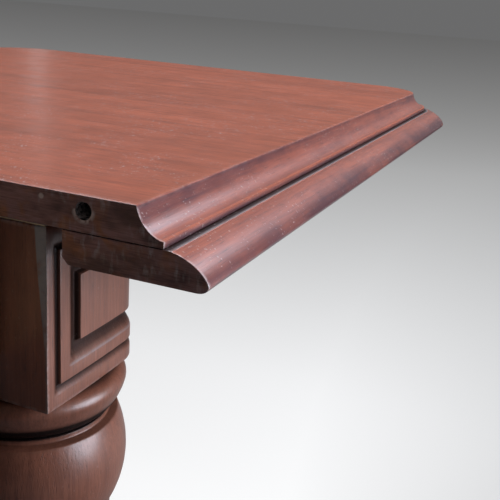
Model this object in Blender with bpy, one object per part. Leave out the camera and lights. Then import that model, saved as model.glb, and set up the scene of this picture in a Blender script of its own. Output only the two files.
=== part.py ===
"""Extending dining table: two moulded half-tops that slide apart over a four-legged base.

Metres, +Z up. The origin is on the floor under the middle of the table, X is the way the halves slide.
Each half-top is modelled with its mating face at x = 0 and turned into place.
"""

from math import cos, pi, sin

import bmesh
import bpy
from mathutils import Matrix, Vector

# Clearances
seat_gap = 0.0003
running_gap = 0.0005
overrun = 0.010

# Table
table_height = 0.735
leaf_bay = 0.960

# Half-top: the arris is the sharp top edge, and the moulding stands out from it
half_length = 0.930
top_width = 0.828
board_thickness = 0.0255
rim_thickness = 0.0242
rim_width = 0.0563
rim_inner_round = 0.0045
corner_radius = 0.080
corner_steps = 4
mitre_share = 0.5

# Edge moulding, from the arris outwards
cove_reach = 0.0200
cove_drop = 0.0206
cove_power = 1.7
cove_steps = 5
thumb_start = 0.0261
thumb_lip = 0.0005
thumb_reach = 0.0267
thumb_power = 1.5
thumb_steps = 6
nose_tuck = 0.0088
nose_drop = 0.0055
nose_steps = 3

# Dowels and their sockets in the mating faces
dowel_radius = 0.00525
dowel_from_arris = 0.0394
dowel_below_top = 0.0104
dowel_seat = 0.028
dowel_stand = 0.020
dowel_chamfer = 0.0015
socket_slack = 0.004
dowel_sides = 16

# Leg block, square with one rounded and bowed panelled corner
block_side = 0.133
block_height = 0.1425
block_from_arris = 0.0718
block_setback = 0.003
block_corner_radius = 0.030
block_bow = 0.0018
face_steps = 3
block_corner_steps = 5
rub_strip_thickness = 0.002
rub_strip_inset = 0.001

# Panel sunk in the two outer faces of the block
panel_margin = 0.0145
panel_top_margin = 0.0145
panel_foot_margin = 0.0130
outer_groove_width = 0.0055
outer_groove_depth = 0.0030
bead_width = 0.0125
inner_groove_width = 0.0050
inner_groove_depth = 0.0060
field_slope_width = 0.0080
field_depth = 0.0015

# Turned leg, as radii and as depths under the table's top
turning_sides = 20
cushion_radius = 0.079
cushion_widest = 0.182
cushion_foot_radius = 0.0655
cushion_foot = 0.2055
cushion_power = 1.4
cushion_steps = 4
deep_groove_radius = 0.058
ring_radius = 0.0655
ring_top = 0.2080
ring_foot = 0.2122
bulb_radius = 0.080
bulb_widest = 0.251
bulb_curve = 0.095
bulb_top = 0.2135
bulb_foot = 0.3015
bulb_steps = 7
collar_radius = 0.0665
collar_foot = 0.315
neck_radius = 0.046
neck_depth = 0.334
neck_steps = 3
vase_radius = 0.060
vase_widest = 0.395
vase_steps = 3
ankle_radius = 0.029
ankle_height = 0.125
taper_steps = 4
ankle_ring_radius = 0.037
ankle_ring_height = 0.016
ankle_ring_steps = 4
foot_radius = 0.0245
foot_toe_radius = 0.0225

# Castor
wheel_radius = 0.020
wheel_width = 0.018
wheel_crown = 0.003
wheel_sides = 20
axle_radius = 0.0025
axle_clearance = 0.00005
axle_head_radius = 0.0042
axle_head_height = 0.0015
fork_cheek = 0.003
fork_trail = 0.016
fork_slot_clearance = 0.001
fork_crown = 0.005
fork_crown_radius = 0.0155
fork_headroom = 0.003
fork_eye_radius = 0.0075
fork_sides = 16
stem_radius = 0.004
stem_clearance = 0.0003
stem_length = 0.016
cup_floor = 0.004
cup_wall = 0.0022
cup_height = 0.036
cup_lip = 0.0015
cup_lip_height = 0.004

# Base rails and their tenons
rail_recess = 0.045
rail_thickness = 0.030
rail_height = 0.108
tenon_thickness = 0.012
tenon_height = 0.078
tenon_length = 0.030
notch_floor_gap = 0.0005

# Bearers that carry the half-tops, and the guides they run on
bearer_width = 0.030
bearer_height = 0.060
bearer_leg_gap = 0.018
guide_width = 0.026
tongue_height = 0.0114
tongue_reach = 0.0074
bearer_end_setback = 0.200
bearer_end_clearance = 0.010
stop_length = 0.030
stop_height = 0.016
batten_length = 0.045
batten_height = 0.022
batten_overhang = 0.025
centre_rail_thickness = 0.030

# Turn catches that lock the halves together
catch_inset = 0.014
catch_tip = 0.005
catch_width = 0.011
catch_thickness = 0.003
catch_sides = 12
screw_radius = 0.0025
screw_head_radius = 0.0050
screw_head_height = 0.0020
screw_length = 0.014
hook_clearance = 0.0003

# Places worked out from the sizes above
underside = table_height - board_thickness
mate_x = leaf_bay / 2
travel = leaf_bay / 2 - seat_gap
half_width = top_width / 2
ankle_depth = table_height - ankle_height
block_half = block_side / 2
block_top = underside - rub_strip_thickness - 2 * seat_gap
block_bottom = block_top - block_height
leg_x = mate_x + block_setback + block_half
leg_y = half_width - block_from_arris - block_half
rail_centre_in_block = block_half - rail_recess - rail_thickness / 2
side_rail_y = leg_y + rail_centre_in_block
end_rail_x = leg_x + rail_centre_in_block
end_rail_inner = end_rail_x - rail_thickness / 2
bearer_offset = guide_width / 2 + running_gap + bearer_width / 2
guide_centre = leg_y - block_half - bearer_leg_gap - bearer_width / 2 - bearer_offset
catch_spread = (guide_centre - bearer_offset - bearer_width / 2) / 2
bearer_top = underside - seat_gap
bearer_bottom = bearer_top - bearer_height
cup_bottom = 2 * wheel_radius + fork_headroom + fork_crown + running_gap
foot_bottom = cup_bottom + cup_floor + seat_gap


def clear_scene():
    for old in list(bpy.data.objects):
        bpy.data.objects.remove(old, do_unlink=True)


def material(name, colour, roughness, metallic=0.0):
    made = bpy.data.materials.new(name)
    made.use_nodes = True
    shader = made.node_tree.nodes["Principled BSDF"]
    shader.inputs["Base Color"].default_value = (*colour, 1.0)
    shader.inputs["Roughness"].default_value = roughness
    shader.inputs["Metallic"].default_value = metallic
    return made


def add_object(name, mesh, finish, smooth=None):
    """One named object of a mesh, with its finish and, on round pieces, smooth shading."""
    placed = bpy.data.objects.new(name, mesh)
    bpy.context.collection.objects.link(placed)
    if finish and not mesh.materials:
        mesh.materials.append(finish)
    if smooth:
        mesh.shade_smooth()
        mesh.set_sharp_from_angle(angle=smooth)
    return placed


def stacked_mesh(name, rings, mitre=None):
    """A closed mesh through rings of points, top first, each ring turning anticlockwise seen from +Z.

    mitre(ring, point) says which diagonal splits a face: True for the one from its first corner.
    """
    work = bmesh.new()
    loops = [[work.verts.new(point) for point in ring] for ring in rings]
    count = len(loops[0])
    for k in range(len(loops) - 1):
        for j in range(count):
            a, b = loops[k][j], loops[k][(j + 1) % count]
            d, c = loops[k + 1][j], loops[k + 1][(j + 1) % count]
            if mitre is None:
                work.faces.new((a, d, c, b))
            elif mitre(k, j):
                work.faces.new((a, d, c))
                work.faces.new((a, c, b))
            else:
                work.faces.new((a, d, b))
                work.faces.new((d, c, b))
    work.faces.new(loops[0])
    work.faces.new(reversed(loops[-1]))
    mesh = bpy.data.meshes.new(name)
    work.to_mesh(mesh)
    work.free()
    return mesh


def prism_mesh(name, outline, start, end):
    """An outline in Y and Z, anticlockwise seen from +X, drawn out along X from start to end."""
    return stacked_mesh(name, [[Vector((x, y, z)) for y, z in outline] for x in (end, start)])


def box_mesh(name, low, high):
    (x0, y0, z0), (x1, y1, z1) = low, high
    corners = ((x0, y0), (x1, y0), (x1, y1), (x0, y1))
    return stacked_mesh(name, [[Vector((x, y, z)) for x, y in corners] for z in (z1, z0)])


def round_turns(sides):
    return [2 * pi * k / sides for k in range(sides)]


def turned_mesh(name, profile, sides):
    """A profile of radius and height, from the axis down its outer side to the axis again, turned about Z."""
    work = bmesh.new()
    previous = None
    for radius, height in profile:
        if radius == 0:
            ring = [work.verts.new((0, 0, height))]
        else:
            ring = [work.verts.new((radius * cos(t), radius * sin(t), height)) for t in round_turns(sides)]
        if previous:
            for j in range(sides):
                a, b = previous[j % len(previous)], previous[(j + 1) % len(previous)]
                d, c = ring[j % len(ring)], ring[(j + 1) % len(ring)]
                corners = [v for i, v in enumerate((a, d, c, b)) if v not in (a, d, c, b)[:i]]
                if len(corners) > 2:
                    work.faces.new(corners)
        previous = ring
    mesh = bpy.data.meshes.new(name)
    work.to_mesh(mesh)
    work.free()
    return mesh


def tube_mesh(name, profile, sides):
    """A closed outline of radius and height, clockwise with the radius to the right, turned about Z."""
    work = bmesh.new()
    loops = [[work.verts.new((r * cos(t), r * sin(t), z)) for t in round_turns(sides)] for r, z in profile]
    for k, upper in enumerate(loops):
        lower = loops[(k + 1) % len(loops)]
        for j in range(sides):
            work.faces.new((upper[j], lower[j], lower[(j + 1) % sides], upper[(j + 1) % sides]))
    mesh = bpy.data.meshes.new(name)
    work.to_mesh(mesh)
    work.free()
    return mesh


def round_mesh(name, radius, bottom, top, sides, chamfer=0.0):
    if chamfer:
        sloped = [(radius - chamfer, top), (radius, top - chamfer),
                  (radius, bottom + chamfer), (radius - chamfer, bottom)]
    else:
        sloped = [(radius, top), (radius, bottom)]
    return turned_mesh(name, [(0, top), *sloped, (0, bottom)], sides)


def along_x(mesh):
    mesh.transform(Matrix.Rotation(pi / 2, 4, "Y"))
    return mesh


def along_y(mesh):
    mesh.transform(Matrix.Rotation(-pi / 2, 4, "X"))
    return mesh


def combined(base, *steps):
    """The mesh left when each (operation, tool mesh) has been joined to or cut from a base mesh."""
    work = bpy.data.objects.new("work", base)
    bpy.context.collection.objects.link(work)
    tools = []
    for operation, tool in steps:
        helper = bpy.data.objects.new("tool", tool)
        bpy.context.collection.objects.link(helper)
        helper.hide_render = True
        helper.display_type = "WIRE"
        change = work.modifiers.new(operation.lower(), "BOOLEAN")
        change.operation = operation
        change.solver = "EXACT"
        change.object = helper
        tools.append(helper)
    seen = work.evaluated_get(bpy.context.evaluated_depsgraph_get())
    result = bpy.data.meshes.new_from_object(seen)
    for helper in (work, *tools):
        bpy.data.objects.remove(helper, do_unlink=True)
    result.materials.clear()
    return result


def quadrant(reach, drop, power, steps):
    """Points of a quarter superellipse: from (0, drop) out to (reach, 0), power 2 being an ellipse."""
    angles = [pi / 2 * k / steps for k in range(steps + 1)]
    return [(reach * sin(t) ** (2 / power), drop * cos(t) ** (2 / power)) for t in angles]


def board_profile():
    """Reach from the arris and depth under the top, down the board's moulded edge."""
    cove = [(cove_reach - x, y) for x, y in reversed(quadrant(cove_reach, cove_drop, cove_power, cove_steps))]
    return cove + [(cove_reach, board_thickness)]


def rim_profile():
    """Reach from the arris and depth under the top, down the rim's moulded edge."""
    top = board_thickness + seat_gap
    nose = thumb_start + thumb_reach
    foot = top + rim_thickness
    thumb_drop = rim_thickness - thumb_lip - nose_drop
    thumb = [(thumb_start + x, foot - nose_drop - y)
             for x, y in quadrant(thumb_reach, thumb_drop, thumb_power, thumb_steps)]
    tuck = [(nose - nose_tuck + x, foot - nose_drop + y)
            for x, y in reversed(quadrant(nose_tuck, nose_drop, 2, nose_steps))][1:]
    return [(thumb_start, top)] + thumb + tuck


def corner_arc(reach, side, start, end):
    """Points round a far corner, out from the arris by reach; start and end are shares of the corner."""
    centre_x, centre_y = half_length - corner_radius, half_width - corner_radius
    radius = corner_radius + reach
    steps = max(1, round(corner_steps * (end - start) * 2))
    turns = [pi / 2 * (start + (end - start) * k / steps) for k in range(steps + 1)]
    return [(centre_x + radius * sin(t), side * (centre_y + radius * cos(t))) for t in turns]


def dowel_places():
    outer = half_width - dowel_from_arris
    return (-outer, 0, outer)


def socket_cutters():
    depth = dowel_seat + socket_slack
    radius = dowel_radius + seat_gap
    for y in dowel_places():
        hole = along_x(round_mesh("hole", radius, -overrun, depth, dowel_sides))
        hole.transform(Matrix.Translation((0, y, table_height - dowel_below_top)))
        yield "DIFFERENCE", hole


def screw_hole_cutters():
    for side in (-1, 1):
        hole = round_mesh("hole", screw_radius + seat_gap, -overrun, screw_length + seat_gap, catch_sides)
        hole.transform(Matrix.Translation((catch_inset, side * catch_spread, underside)))
        yield "DIFFERENCE", hole


def board_mesh():
    """Top board with its cove on three sides, three sockets in its mating face and two screw holes."""
    rings = []
    for reach, depth in board_profile():
        right = corner_arc(reach, -1, 0, 1)
        left = [(x, -y) for x, y in reversed(right)]
        outline = [(0, -half_width - reach), *right, *left, (0, half_width + reach)]
        rings.append([Vector((x, y, table_height - depth)) for x, y in outline])
    return combined(stacked_mesh("board", rings), *socket_cutters(), *screw_hole_cutters())


def rim_sections():
    """Outer reach, inner setback and depth of the rim, top first, with its inner lower edge rounded."""
    profile = rim_profile()
    foot = profile[-1][1]
    for reach, depth in profile:
        below = max(0, depth - (foot - rim_inner_round))
        sunk = rim_inner_round - (rim_inner_round**2 - below**2) ** 0.5
        yield reach, rim_width - sunk, depth


def side_rim_mesh():
    """Rim under the right edge, from the mating face to the mitre at the far corner."""
    rings = []
    for reach, setback, depth in rim_sections():
        outer = [(0, -half_width - reach), *corner_arc(reach, -1, 0, mitre_share)]
        inner_y = -half_width + setback
        outline = outer + [(half_length - setback, inner_y), (0, inner_y)]
        rings.append([Vector((x, y, table_height - depth)) for x, y in outline])
    return stacked_mesh("side_rim", rings)


def end_rim_mesh():
    """Rim under the far edge, mitred at both ends."""
    slip = seat_gap
    rings = []
    for reach, setback, depth in rim_sections():
        right = [(x, y + slip) for x, y in corner_arc(reach, -1, mitre_share, 1)]
        left = [(x, -y) for x, y in reversed(right)]
        inner_x, inner_y = half_length - setback, half_width - setback - slip
        outline = right + left + [(inner_x, inner_y), (inner_x, -inner_y)]
        rings.append([Vector((x, y, table_height - depth)) for x, y in outline])
    return stacked_mesh("end_rim", rings)


def bearer_mesh(lane):
    """Bearer under the right of a half-top; lane is +1 where it runs outside the guide and -1 inside."""
    centre = -(guide_centre + lane * bearer_offset)
    groove_side = lane
    face = centre + groove_side * bearer_width / 2
    back = centre - groove_side * bearer_width / 2
    middle = (bearer_top + bearer_bottom) / 2
    half_groove = tongue_height / 2 + running_gap
    floor = face - groove_side * (tongue_reach + running_gap)
    outline = [(back, bearer_bottom), (face, bearer_bottom), (face, middle - half_groove),
               (floor, middle - half_groove), (floor, middle + half_groove), (face, middle + half_groove),
               (face, bearer_top), (back, bearer_top)]
    if groove_side < 0:
        outline.reverse()
    inner_end = -(end_rail_inner - travel - bearer_end_clearance) - mate_x
    return prism_mesh("bearer", outline, inner_end, half_length - bearer_end_setback)


def stop_mesh(lane):
    """Block under a bearer that meets the end rail when the half-top is fully drawn out."""
    centre = -(guide_centre + lane * bearer_offset)
    end = end_rail_inner - seat_gap - mate_x
    top = bearer_bottom - seat_gap
    return box_mesh("stop", (end - stop_length, centre - bearer_width / 2, top - stop_height),
                    (end, centre + bearer_width / 2, top))


def batten_mesh(lane):
    start = half_length - bearer_end_setback + seat_gap
    reach = guide_centre + lane * bearer_offset + bearer_width / 2 + batten_overhang
    return box_mesh("batten", (start, -reach, bearer_top - batten_height),
                    (start + batten_length, reach, bearer_top))


def screw_mesh():
    """Round-headed screw driven up into the board, whose underside is at z = 0, with room for a hook."""
    head_top = -catch_thickness - 3 * seat_gap
    head_foot = head_top - screw_head_height
    profile = [(0, screw_length), (screw_radius, screw_length), (screw_radius, head_top),
               (screw_head_radius, head_top), (screw_head_radius, head_top - screw_head_height / 2),
               (screw_head_radius / 2, head_foot), (0, head_foot)]
    return turned_mesh("screw", profile, catch_sides)


def catch_mesh():
    """Flat hook along +X, with its pivot hole at the origin and an open mouth for the keeper screw."""
    half = catch_width / 2
    hole = screw_radius + hook_clearance
    reach = 2 * (catch_inset + seat_gap)
    tip = reach + hole + catch_tip
    arc = [pi / 2 + pi * k / (catch_sides // 2) for k in range(catch_sides // 2 + 1)]
    outline = [(half * cos(t), half * sin(t)) for t in arc]
    outline += [(reach, -half), (tip, -half / 2), (tip, half)]
    plate = stacked_mesh("plate", [[Vector((x, y, z)) for x, y in outline] for z in (0, -catch_thickness)])
    pivot = round_mesh("pivot", hole, -overrun, overrun, catch_sides)
    slot = box_mesh("slot", (reach - hole, 0, -overrun), (reach + hole, half + overrun, overrun))
    mouth = round_mesh("mouth", hole, -overrun, overrun, catch_sides)
    mouth.transform(Matrix.Translation((reach, 0, 0)))
    return combined(plate, ("DIFFERENCE", pivot), ("DIFFERENCE", slot), ("DIFFERENCE", mouth))


def panel_steps():
    """Distance into the panel and sink under the face, at each edge of its moulding."""
    groove = outer_groove_width
    bead = groove + bead_width
    slope = bead + inner_groove_width
    field = slope + field_slope_width
    return [(0, 0), (groove / 2, outer_groove_depth), (groove, 0), (bead, 0),
            (bead, inner_groove_depth), (slope, inner_groove_depth), (field, field_depth)]


def panel_sink(inside):
    """How far the panelled surface lies under the face, at a distance inside the panel's edge."""
    steps = panel_steps()
    if inside <= 0:
        return 0
    for (near, sink), (far, next_sink) in zip(steps, steps[1:]):
        if near <= inside < far:
            return sink + (next_sink - sink) * (inside - near) / (far - near)
    return steps[-1][1]


def outer_path():
    """Length along, place and outward direction, round the two bowed outer faces of the block."""
    face = block_side - block_corner_radius
    corner = pi / 2 * block_corner_radius
    edges = [panel_margin + step for step, _ in panel_steps()]
    total = 2 * face + corner
    stops = {0, *edges, *(total - edge for edge in edges)}
    stops |= {face + corner * k / block_corner_steps for k in range(block_corner_steps + 1)}
    stops |= {edges[-1] + (face - edges[-1]) * k / face_steps for k in range(1, face_steps)}
    stops |= {total - edges[-1] - (face - edges[-1]) * k / face_steps for k in range(1, face_steps)}
    path = []
    for along in sorted(stops):
        share = min(1, max(0, (along - face) / corner))
        turn = share * pi / 2
        outward = Vector((sin(turn), -cos(turn), 0))
        if along <= face:
            place = Vector((along - block_half, -block_half, 0))
            bow = 4 * block_bow * along / block_side * (1 - along / block_side)
        elif along >= face + corner:
            run = total - along
            place = Vector((block_half, block_half - run, 0))
            bow = 4 * block_bow * run / block_side * (1 - run / block_side)
        else:
            centre = Vector((block_half - block_corner_radius, block_corner_radius - block_half, 0))
            place = centre + block_corner_radius * outward
            bow = 4 * block_bow * face / block_side * (1 - face / block_side)
        path.append((min(along, total - along), place + bow * outward, outward))
    return path


def block_mesh():
    """Leg block round the leg's axis, its panel running round the outer corner from face to face."""
    edges = [step for step, _ in panel_steps()]
    top = block_top - panel_top_margin
    foot = block_bottom + panel_foot_margin
    heights = [block_top, *(top - edge for edge in edges)]
    heights += [*(foot + edge for edge in reversed(edges)), block_bottom]
    path = outer_path()
    rings = []
    for z in heights:
        level = min(top - z, z - foot)
        ring = []
        for along, place, outward in path:
            sink = panel_sink(min(level, along - panel_margin))
            ring.append(place - sink * outward + Vector((0, 0, z)))
        ring.append(Vector((-block_half, block_half, z)))
        rings.append(ring)
    across, down = len(path) // 2, len(heights) // 2
    return stacked_mesh("block", rings, lambda k, j: (j < across) == (k < down))


def bulb_at(depth):
    return bulb_radius - bulb_curve + (bulb_curve**2 - (depth - bulb_widest) ** 2) ** 0.5


def eased(start, end, steps):
    """Points between two (radius, depth) pairs on a curve that runs upright at both ends."""
    shares = [k / steps for k in range(steps + 1)]
    return [(start[0] + (end[0] - start[0]) * (1 - cos(pi * s)) / 2, start[1] + (end[1] - start[1]) * s)
            for s in shares]


def leg_profile():
    """Radius and height of the turned leg, from inside the block down to its foot in the castor cup."""
    block_foot = table_height - block_bottom
    cushion = quadrant(cushion_radius - cushion_foot_radius, cushion_foot - cushion_widest,
                       cushion_power, cushion_steps)
    points = [(cushion_foot_radius, block_foot - overrun), (cushion_foot_radius, block_foot)]
    points += [(cushion_foot_radius + x, cushion_widest + y) for x, y in reversed(cushion)]
    points += [(deep_groove_radius, cushion_foot), (deep_groove_radius, ring_top), (ring_radius, ring_top),
               (ring_radius, ring_foot), (bulb_at(bulb_top), bulb_top)]
    points += [(bulb_at(d), d) for d in
               (bulb_top + (bulb_foot - bulb_top) * k / bulb_steps for k in range(1, bulb_steps + 1))]
    points += [(collar_radius, bulb_foot), (collar_radius, collar_foot)]
    points += eased((collar_radius, collar_foot), (neck_radius, neck_depth), neck_steps)[1:]
    points += eased((neck_radius, neck_depth), (vase_radius, vase_widest), vase_steps)[1:]
    points += eased((vase_radius, vase_widest), (ankle_radius, ankle_depth), taper_steps)[1:]
    half_ring = ankle_ring_height / 2
    turns = [pi * k / ankle_ring_steps for k in range(1, ankle_ring_steps + 1)]
    swell = ankle_ring_radius - ankle_radius
    points += [(ankle_radius + swell * sin(t), ankle_depth + half_ring * (1 - cos(t))) for t in turns]
    cup_top = table_height - cup_bottom - cup_height
    points += [(foot_radius, cup_top), (foot_toe_radius, table_height - foot_bottom)]
    heights = [(r, table_height - d) for r, d in points]
    bore = stem_radius + stem_clearance
    bore_top = cup_bottom + stem_length
    return [(0, heights[0][1]), *heights, (bore, foot_bottom), (bore, bore_top), (0, bore_top)]


def mortise_mesh():
    """Cutter for the side rail's tenon, in the block's inner face towards -X."""
    half = tenon_thickness / 2 + seat_gap
    middle = block_top - rail_height / 2
    rise = tenon_height / 2 + seat_gap
    return box_mesh("mortise", (-block_half - overrun, -rail_centre_in_block - half, middle - rise),
                    (-block_half + tenon_length + seat_gap, -rail_centre_in_block + half, middle + rise))


def leg_mesh():
    """Leg with its outer faces towards -Y and +X, round its own axis."""
    second = mortise_mesh()
    second.transform(Matrix(((0, -1, 0, 0), (-1, 0, 0, 0), (0, 0, 1, 0), (0, 0, 0, 1))))
    second.flip_normals()
    return combined(block_mesh(), ("UNION", turned_mesh("turning", leg_profile(), turning_sides)),
                    ("DIFFERENCE", mortise_mesh()), ("DIFFERENCE", second))


def rub_strip_mesh():
    """Thin pale strip on the block, that the half-top slides on."""
    bottom = block_top + seat_gap
    scale = (block_half - rub_strip_inset) / block_half
    rings = []
    for z in (bottom + rub_strip_thickness, bottom):
        outline = [place for _, place, _ in outer_path()[::2]] + [Vector((-block_half, block_half, 0))]
        rings.append([Vector((p.x * scale, p.y * scale, z)) for p in outline])
    return stacked_mesh("rub_strip", rings)


def rail_mesh(span, notches):
    """Rail along X between two blocks a span apart, with a tenon at each end and notches in its top edge."""
    half = rail_thickness / 2
    end = span / 2 - seat_gap
    body = box_mesh("rail", (-end, -half, block_top - rail_height), (end, half, block_top))
    middle = block_top - rail_height / 2
    steps = []
    for side in (-1, 1):
        ends = sorted((side * (span / 2 - overrun), side * (span / 2 + tenon_length)))
        steps.append(("UNION", box_mesh("tenon", (ends[0], -tenon_thickness / 2, middle - tenon_height / 2),
                                        (ends[1], tenon_thickness / 2, middle + tenon_height / 2))))
    for centre in notches:
        width = bearer_width / 2 + running_gap
        low = (centre - width, -half - overrun, bearer_bottom - notch_floor_gap)
        high = (centre + width, half + overrun, block_top + overrun)
        steps.append(("DIFFERENCE", box_mesh("notch", low, high)))
    return combined(body, *steps)


def guide_mesh():
    """Guide along X between the end rails, with a tongue on each side for the bearers."""
    half, middle = guide_width / 2, (bearer_top + bearer_bottom) / 2
    tip, rise = half + tongue_reach, tongue_height / 2
    outline = [(-half, bearer_bottom), (half, bearer_bottom), (half, middle - rise), (tip, middle - rise),
               (tip, middle + rise), (half, middle + rise), (half, bearer_top), (-half, bearer_top),
               (-half, middle + rise), (-tip, middle + rise), (-tip, middle - rise), (-half, middle - rise)]
    return prism_mesh("guide", outline, -end_rail_inner + seat_gap, end_rail_inner - seat_gap)


def centre_rail_mesh():
    half = centre_rail_thickness / 2
    reach = side_rail_y - rail_thickness / 2 - seat_gap
    return box_mesh("centre_rail", (-half, -reach, block_top - rail_height),
                    (half, reach, bearer_bottom - seat_gap))


def cup_mesh():
    """Castor cup round the leg's foot, with a hole in its floor for the stem."""
    inner = foot_toe_radius + seat_gap
    mouth = foot_radius + seat_gap
    bore = stem_radius + stem_clearance
    top = cup_bottom + cup_height
    floor = cup_bottom + cup_floor
    lip = mouth + cup_wall + cup_lip
    lip_foot = top - cup_lip_height
    outline = [(mouth, top), (lip, top), (lip, lip_foot), (mouth + cup_wall, lip_foot),
               (inner + cup_wall, cup_bottom), (bore, cup_bottom), (bore, floor), (inner, floor)]
    return tube_mesh("cup", outline, turning_sides)


def fork_mesh():
    """Castor fork round its swivel axis, its crown under z = 0, with the axle's eyes trailing towards +X."""
    slot = wheel_width / 2 + fork_slot_clearance
    outer = slot + fork_cheek
    eye = -(fork_headroom + fork_crown + wheel_radius)
    crown = round_mesh("crown", fork_crown_radius, -fork_crown, 0, fork_sides)
    stem = round_mesh("stem", stem_radius, -fork_crown / 2, stem_length - running_gap - seat_gap, fork_sides)
    arc = [-pi / 2 + pi * k / (fork_sides // 2) for k in range(fork_sides // 2 + 1)]
    tip = [(fork_trail + fork_eye_radius * cos(t), eye + fork_eye_radius * sin(t)) for t in arc]
    cheek = [(-fork_crown_radius / 2, -fork_crown), *tip, (fork_crown_radius - seat_gap, -fork_crown / 2),
             (-fork_crown_radius / 2, -fork_crown / 2)]
    steps = []
    for side in (-1, 1):
        faces = (side * outer, side * slot)
        rings = [[Vector((x, y, z)) for x, z in cheek] for y in sorted(faces)]
        steps.append(("UNION", stacked_mesh("cheek", rings)))
    end = outer + overrun
    hole = along_y(round_mesh("eye", axle_radius + axle_clearance, -end, end, fork_sides))
    hole.transform(Matrix.Translation((fork_trail, 0, eye)))
    return combined(crown, ("UNION", stem), *steps, ("DIFFERENCE", hole))


def wheel_mesh():
    half = wheel_width / 2
    bore = axle_radius + axle_clearance
    shoulder = wheel_radius - wheel_crown
    outline = [(bore, half), (shoulder, half), (wheel_radius, half - wheel_crown),
               (wheel_radius, wheel_crown - half), (shoulder, -half), (bore, -half)]
    return along_y(tube_mesh("wheel", outline, wheel_sides))


def axle_mesh():
    """Axle pin along Y, riveted over outside both cheeks."""
    face = wheel_width / 2 + fork_slot_clearance + fork_cheek + seat_gap
    end = face + axle_head_height
    half = [(0, end), (axle_head_radius, end), (axle_head_radius, face), (axle_radius, face)]
    return along_y(turned_mesh("axle", half + [(r, -y) for r, y in reversed(half)], fork_sides))


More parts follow.
